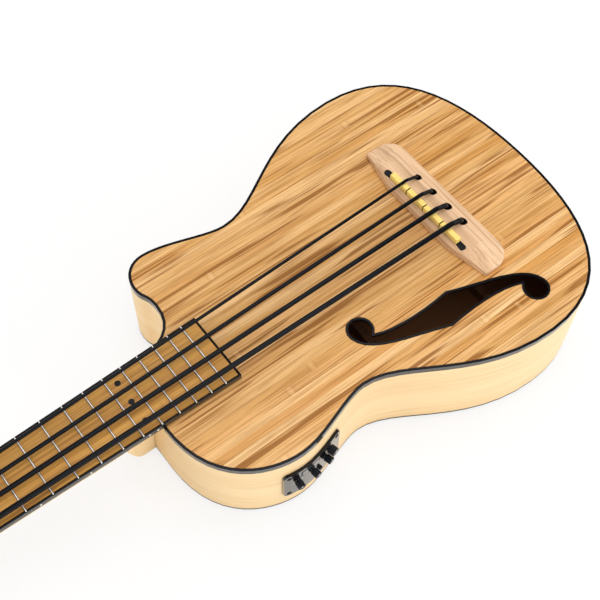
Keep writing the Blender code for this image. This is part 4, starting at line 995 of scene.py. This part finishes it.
class UkuleleBridge(bpy.types.Operator):
    """Makes the bridge, the saddle and the plugs beside it"""

    bl_idname = "ukulele.bridge"
    bl_label = "Bridge"

    def execute(self, context):
        bridge = merged_copy("bridge", "bridge_block")
        round_some_edges(bridge, 0.0006, 8, 16, self.on_outside)
        shade(bridge, 11.8)
        finished(bridge, "bridge", HELD, ("bridge",))
        refined("saddle", "saddle_bar", "saddle", 0.0002, edge_angle=50)
        self.slot_ends()
        return {"FINISHED"}

    def on_outside(self, place):
        """False in the slot and in the string holes."""
        x = laid(saddle_x(), 0, top_z()).x
        in_slot = abs(place.x - x) < SLOT_HALF + 0.0005 and abs(place.y) < SLOT_LENGTH / 2 + 0.0005
        row = abs(place.x - x - HOLE_BACK) < STRING_RADII[-1] + 0.0025
        return not in_slot and not (row and abs(place.y) < sizes().saddle_pitch * 1.5 + 0.005)

    def slot_ends(self):
        """The two rounded black plugs that fill the slot beyond the saddle."""
        inner = SADDLE_LENGTH / 2 + PLUG_GAP
        outer = SLOT_LENGTH / 2 - PLUG_GAP
        middle = (0, (inner + outer) / 2, -(SLOT_DEPTH + PLUG_GAP) / 2)
        plug = brick("plug", middle, ((SLOT_HALF - PLUG_GAP) * 2, outer - inner, SLOT_DEPTH - PLUG_GAP))

        def outer_corner(edge):
            ends = [plug.data.vertices[i].co for i in edge.vertices]
            return abs(ends[0].z - ends[1].z) > 0.001 and ends[0].y > inner + 0.002

        choose(plug, "EDGE", outer_corner)
        bpy.ops.mesh.bevel(offset=SLOT_HALF - PLUG_GAP * 2, segments=8, affect="EDGES")
        mode("OBJECT")
        round_edges(plug, 0.0003, angle=50)
        shade(plug)
        treble = Matrix.Translation((saddle_x(), 0, top_z() + BRIDGE_HEIGHT))
        bass = treble @ Matrix.Rotation(math.pi, 4, "Z")
        set_out(plug, {"slot_end_treble": treble, "slot_end_bass": bass}, "slot_end")


def smooth_path(points, steps):
    """A curve through points that keeps its ends."""
    points = np.array(points)
    ends = np.vstack([2 * points[0] - points[1], points, 2 * points[-1] - points[-2]])
    rows = []
    for i in range(1, len(ends) - 2):
        a, b, c, d = ends[i - 1 : i + 3]
        for share in np.arange(steps) / steps:
            curve = 2 * b + (c - a) * share + (2 * a - 5 * b + 4 * c - d) * share**2
            rows.append((curve + (3 * b - a - 3 * c + d) * share**3) / 2)
    return np.array(rows + [points[-1]])


def string_y(index, pitch):
    return (1.5 - index) * pitch


def head_point(along, across, up):
    """A point on the head: along it from the nut, across it, and up from its face."""
    angle = sizes().head_angle
    x = nut_x() - NUT_LENGTH - along * math.cos(angle) - up * math.sin(angle)
    z = top_z() - along * math.sin(angle) + up * math.cos(angle)
    return np.array([x, across, z])


def winding(index):
    """A string's turns up its post."""
    along, across = TUNER_PLACES[index]
    side = 1 if across > 0 else -1
    thick = STRING_RADII[index]
    radius = POST_WAIST + thick + WIND_GAP
    start = np.array([0.0, side * string_y(index, sizes().nut_pitch)])
    centre = np.array([along, side * across])
    apart = start - centre
    first = math.atan2(apart[1], apart[0]) + math.acos(radius / np.linalg.norm(apart))
    rows = []
    for step in range(round(WIND_TURNS * WIND_POINTS) + 1):
        turn = first + 2 * math.pi * step / WIND_POINTS
        up = WIND_START + thick + (2 * thick + WIND_GAP) * step / WIND_POINTS
        s = centre[0] + radius * math.cos(turn)
        t = side * (centre[1] + radius * math.sin(turn))
        rows.append(head_point(s, t, up))
    return np.array(rows)


def string_route(index):
    """A string's points from its knot to its post, each with its thickness as a share."""
    s = sizes()
    thick = STRING_RADII[index]
    nut_y = string_y(index, s.nut_pitch)
    end_y = string_y(index, s.saddle_pitch)
    saddle_z = board_z() + s.over_saddle + thick
    nut_z = board_z() + s.over_nut + thick
    bridge_z = top_z() + BRIDGE_HEIGHT
    hole_x = saddle_x() + HOLE_BACK
    reach = HOLE_BACK - SADDLE_WIDTH / 2 - SADDLE_EASE
    rise = saddle_z - bridge_z
    knot = thick * KNOT_SWELL
    knot_z = top_z() - UNDER_BRIDGE - knot
    route = []
    for turn in np.linspace(0, math.pi, KNOT_POINTS):
        share = max(KNOT_SWELL * math.sin(turn), KNOT_NECK)
        route.append(((hole_x, end_y, knot_z - knot * math.cos(turn)), share))
    bend = [
        (hole_x, top_z() - 0.001),
        (hole_x, bridge_z - 0.0045),
        (hole_x - reach * 0.05, bridge_z - 0.0012),
        (hole_x - reach * 0.24, bridge_z + thick + 0.0014),
        (hole_x - reach * 0.58, bridge_z + thick * 0.2 + rise * 0.65),
        (hole_x - reach, saddle_z),
    ]
    route += [((x, end_y, z), 1.0) for x, z in smooth_path(bend, 5)]
    route.append(((nut_x(), nut_y, nut_z), 1.0))
    route.append(((nut_x() - NUT_LENGTH - 0.0003, nut_y, nut_z), 1.0))
    return route + [(tuple(point), 1.0) for point in winding(index)]


class UkuleleStrings(bpy.types.Operator):
    """Makes the four strings as round cords along the frame's routes"""

    bl_idname = "ukulele.strings"
    bl_label = "Strings"

    def execute(self, context):
        for index in range(len(STRING_RADII)):
            self.string(index)
        return {"FINISHED"}

    def string(self, index):
        name = f"string_cord_{index + 1}"
        route = string_route(index)
        data = bpy.data.curves.new(name, "CURVE")
        data.dimensions = "3D"
        data.bevel_depth = STRING_RADII[index]
        data.bevel_resolution = 4
        data.use_fill_caps = True
        spline = data.splines.new("POLY")
        spline.points.add(len(route) - 1)
        for point, (place, share) in zip(spline.points, route):
            point.co = (*place, 1)
            point.radius = share
        cord = bpy.data.objects.new(name, data)
        bpy.context.scene.collection.objects.link(cord)
        pick(cord)
        bpy.ops.object.convert(target="MESH")
        cord = bpy.context.object
        mode("EDIT")
        bpy.ops.mesh.select_all(action="SELECT")
        bpy.ops.mesh.remove_doubles(threshold=0.000001)
        mode("OBJECT")
        shade(cord, 60)
        lay_down(cord)
        finished(cord, "string", HELD, (f"string_{index + 1}",))


class UkulelePreamp(bpy.types.Operator):
    """Makes the preamp's panel, its screws and window, the knobs and the button"""

    bl_idname = "ukulele.preamp"
    bl_label = "Preamp"

    def execute(self, context):
        panel = refined("preamp_panel", "preamp_face", "panel", 0.0007, 3)
        self.panel_screws(panel)
        self.window(panel)
        for joint in frame["joints"]:
            if joint["child"].startswith("preamp_knob"):
                self.knob(joint)
        button = "preamp_button"
        refined(button, "tuner_button", "knob", 0.0002, body=f"{button}_body")
        return {"FINISHED"}

    def panel_screws(self, panel):
        places = {}
        for number, (side, rise) in enumerate(((-1, -1), (-1, 1), (1, -1), (1, 1)), 1):
            dx = side * (PANEL_LENGTH / 2 - SCREW_INSET)
            dz = rise * (PANEL_HEIGHT / 2 - SCREW_INSET)
            turn = Matrix.Rotation(SCREW_TURN * number, 4, "Z")
            places[f"panel_screw_{number}"] = standing(*self.spot(panel, dx, dz)) @ turn
        for screw in copies(cross_screw(PANEL_SCREW_RADIUS), places):
            finished(screw, "screw")

    def spot(self, panel, dx, dz):
        """The point of the panel's face at a place from its middle, and the way it faces."""
        level = laid(sizes().joint_x + PANEL_FROM_JOINT + dx, 0, top_z() - PANEL_BELOW_TOP + dz)
        hit, place, facing = panel.ray_cast((level.x, -0.2, level.z), (0, 1, 0))[:3]
        if not hit:
            raise RuntimeError("no panel at this place")
        return place, facing

    def window(self, panel):
        """A raised rim and a dark glass, both cut from the panel's own curved shell."""
        dx, dz, length, height = WINDOW
        place, facing = self.spot(panel, dx, dz)
        along, up = laid(1, 0, 0), laid(0, 0, 1)
        ways = ((along, length), (-along, length), (up, height), (-up, height))
        for name, margin, rise, look in WINDOW_PIECES:
            piece = merged_copy("preamp_panel", name)
            mode("EDIT")
            for way, reach in ways:
                edge = place + way * (reach / 2 + margin)
                bpy.ops.mesh.select_all(action="SELECT")
                bpy.ops.mesh.bisect(plane_co=edge, plane_no=way, use_fill=True, clear_outer=True)
            mode("OBJECT")
            piece.location = facing * rise
            settle(piece)
            round_edges(piece, 0.0003, angle=40)
            shade(piece)
            finished(piece, look)

    def knob(self, joint):
        """A ribbed cap with a pale pointer on its shaft, and the dial's ticks round it."""
        node = joint["child"].removesuffix("_body")
        number = node[-1]
        axis = Vector(joint["axis"]).normalized()
        base = Vector(joint["pos_m"])
        verts = [vert.co - base for vert in NODES[node].data.vertices]
        heights = [axis.dot(place) for place in verts]
        radius = max(place.cross(axis).length for place in verts)
        shaft_radius = min(place.cross(axis).length for place in verts if abs(axis.dot(place)) < 0.0001)
        top = base + axis * max(heights)
        cap = self.ribbed_cap(f"control_knob_{number}", radius, base, top)
        joined(cap, settle(bar("shaft", shaft_radius, base + axis * min(heights), base)))
        shade(cap, 25)
        finished(cap, "knob", joint["child"], (node,))
        turn = axis.to_track_quat("Z", "Y")
        middle = top + turn @ Vector((0, 1, 0)) * radius * 0.45
        lengths = (POINTER_WIDTH, radius * 0.8, POINTER_HEIGHT)
        pointer = brick(f"knob_pointer_{number}", middle, lengths, turn)
        finished(pointer, "mark", joint["child"])
        self.ticks(number, base, axis, radius)

    def ribbed_cap(self, name, radius, base, top):
        """A knob's cap, with grooves along its sides."""
        cap = bar(name, radius, base, top, KNOB_SIDES)
        choose(cap, "FACE", lambda face: face.normal.z > 0.9)
        bpy.ops.mesh.bevel(offset=KNOB_ROUNDING, segments=3, affect="EDGES")
        step = 2 * math.pi / KNOB_SIDES

        def in_groove(vert):
            side = round(math.atan2(vert.co.y, vert.co.x) / step)
            return side % GROOVE_EVERY == 0 and vert.co.xy.length > radius * 0.9

        choose(cap, "VERT", in_groove)
        bpy.ops.transform.resize(value=(GROOVE_SCALE, GROOVE_SCALE, 1), orient_type="LOCAL")
        mode("OBJECT")
        return settle(cap)

    def ticks(self, number, base, axis, radius):
        """Plain dial ticks printed on the panel, from the knob's one stop to the other."""
        tick = brick("tick", (0, radius + TICK_GAP, 0), TICK_SIZE)
        face = standing(base - axis * KNOB_LIFT, axis)
        places = {}
        for index, angle in enumerate(np.linspace(-KNOB_STOP, KNOB_STOP, TICKS)):
            places[f"mark_{index}"] = face @ Matrix.Rotation(math.radians(angle), 4, "Z")
        dial = joined(*copies(tick, places))
        dial.name = f"dial_ticks_{number}"
        finished(dial, "mark")


class UkuleleTail(bpy.types.Operator):
    """Makes the endpin jack"""

    bl_idname = "ukulele.tail"
    bl_label = "Endpin jack"

    def execute(self, context):
        refined("endpin_jack", "strap_jack", "black_metal", 0.0004)
        return {"FINISHED"}


def on_head(along, across, up):
    """The matrix that stands a piece on the head, or over or under its face."""
    foot = Vector(head_point(along, across, up))
    return standing(foot, Vector(head_point(along, across, up + 1.0)) - foot)


class UkuleleTuners(bpy.types.Operator):
    """Makes the tuning machines, their bushings and their screws"""

    bl_idname = "ukulele.tuners"
    bl_label = "Tuners"

    def execute(self, context):
        rings = {}
        screws = {}
        turned = Matrix.Rotation(math.pi, 4, "X")
        for number, (along, across) in enumerate(TUNER_PLACES, 1):
            self.machine(number)
            rings[f"post_bushing_{number}"] = on_head(along, across, 0.0)
            screws[f"gear_screw_{number}"] = on_head(along, across, -HOUSING_BACK) @ turned
        set_out(self.bushing(), rings, "post")
        set_out(cross_screw(GEAR_SCREW_RADIUS), screws, "post")
        return {"FINISHED"}

    def machine(self, number):
        """A tuner's housing, which is held, and its key and post, which turn."""
        for part, piece, look, slot, width, segments in MACHINE_PIECES:
            node = f"tuner_{part}_{number}"
            body = HELD if part == "housing" else f"{node}_body"
            refined(node, f"{piece}_{number}", look, width, segments, body)

    def bushing(self):
        """A ring with rounded edges for a post to stand in."""
        ring = settle(bar("ring", BUSHING_RADIUS, (0, 0, -BUSHING_SUNK), (0, 0, BUSHING_RISE), 40))
        cut_out(ring, settle(bar("bore", BUSHING_BORE, (0, 0, -0.0030), (0, 0, 0.0030), 40)))
        round_edges(ring, 0.0004, 3, 50)
        shade(ring)
        return ring


class UkuleleStage(bpy.types.Operator):
    """Makes the floor, the lamps, the world and the camera"""

    bl_idname = "ukulele.stage"
    bl_label = "Stage"

    def execute(self, context):
        self.floor()
        self.lamps()
        self.world()
        self.camera()
        return {"FINISHED"}

    def floor(self):
        """A pale floor that shows nearly white to the camera and keeps a soft shadow."""
        deselect()
        bpy.ops.mesh.primitive_plane_add(size=FLOOR_SIZE, location=(0, 0, FLOOR_LEVEL))
        floor = added("floor")
        f = Finish("Pale floor")
        x, y, z = f.place()
        cloud = f.noise(x * 2.0, y * 2.0, z)
        base = f.mix(cloud, rgb((0.86, 0.86, 0.86)), rgb((0.90, 0.90, 0.90)))
        values = {"Base Color": base, "Roughness": 0.9, "Specular IOR Level": 0.1}
        matt = f.node("ShaderNodeBsdfPrincipled", {}, values)
        glow = f.node("ShaderNodeEmission", {}, {0: (1, 1, 1, 1), 1: 1.0})
        seen = f.node("ShaderNodeLightPath", output=0)
        f.output(f.node("ShaderNodeMixShader", {}, {0: seen * FLOOR_GLOW, 1: matt, 2: glow}))
        floor.data.materials.append(f.material)

    def lamps(self):
        for name, place, power, size in LAMPS:
            deselect()
            bpy.ops.object.light_add(type="AREA", location=place)
            lamp = added(name)
            lamp.data.energy = power
            lamp.data.size = size
            aim = Vector(LAMP_AIM) - Vector(place)
            lamp.rotation_euler = aim.to_track_quat("-Z", "Y").to_euler()

    def world(self):
        """A white world that is dimmer for the light it gives, and more so in reflections."""
        world = bpy.data.worlds.new("Studio")
        bpy.context.scene.world = world
        world.use_nodes = True
        tree = world.node_tree
        back = tree.nodes["Background"]
        back.inputs[0].default_value = (1, 1, 1, 1)
        seen = tree.nodes.new("ShaderNodeLightPath")
        dimmed = tree.nodes.new("ShaderNodeMapRange")
        dimmed.inputs[3].default_value = WORLD_LIGHT
        dimmed.inputs[4].default_value = WORLD_IN_GLOSS
        tree.links.new(seen.outputs["Is Glossy Ray"], dimmed.inputs[0])
        white = tree.nodes.new("ShaderNodeMath")
        white.operation = "MAXIMUM"
        tree.links.new(seen.outputs["Is Camera Ray"], white.inputs[0])
        tree.links.new(dimmed.outputs[0], white.inputs[1])
        tree.links.new(white.outputs[0], back.inputs[1])

    def camera(self):
        deselect()
        bpy.ops.object.camera_add()
        camera = added("view_camera")
        turn = Matrix((CAMERA_RIGHT, CAMERA_UP, CAMERA_BACK)).transposed().to_4x4()
        camera.matrix_world = Matrix.Translation(CAMERA_PLACE) @ turn
        camera.data.sensor_width = 36
        camera.data.lens = CAMERA_LENS
        camera.data.clip_start = 0.01
        scene = bpy.context.scene
        scene.camera = camera
        scene.view_settings.view_transform = "Standard"


OPERATORS = (
    UkuleleLooks,
    UkuleleBody,
    UkuleleNeck,
    UkuleleFrets,
    UkuleleBridge,
    UkuleleStrings,
    UkulelePreamp,
    UkuleleTail,
    UkuleleTuners,
    UkuleleStage,
)


class UkulelePanel(bpy.types.Panel):
    """Lists the sizes, the colours and the pieces"""

    bl_idname = "UKULELE_PT_pieces"
    bl_label = "Bass ukulele"
    bl_space_type = "VIEW_3D"
    bl_region_type = "UI"
    bl_category = "Ukulele"

    def draw(self, context):
        for group in (context.scene.ukulele_sizes, context.scene.ukulele_colours):
            # The first two are every group's own
            for name in group.bl_rna.properties.keys()[2:]:
                self.layout.prop(group, name)
        for operator in OPERATORS:
            self.layout.operator(operator.bl_idname)


CLASSES = (UkuleleSizes, UkuleleColours, *OPERATORS, UkulelePanel)


def register():
    for cls in CLASSES:
        bpy.utils.register_class(cls)
    bpy.types.Scene.ukulele_sizes = PointerProperty(type=UkuleleSizes)
    bpy.types.Scene.ukulele_colours = PointerProperty(type=UkuleleColours)


def unregister():
    del bpy.types.Scene.ukulele_colours
    del bpy.types.Scene.ukulele_sizes
    for cls in reversed(CLASSES):
        bpy.utils.unregister_class(cls)


def main():
    register()
    for operator in OPERATORS:
        group, name = operator.bl_idname.split(".")
        getattr(getattr(bpy.ops, group), name)()


if __name__ == "__main__":
    main()
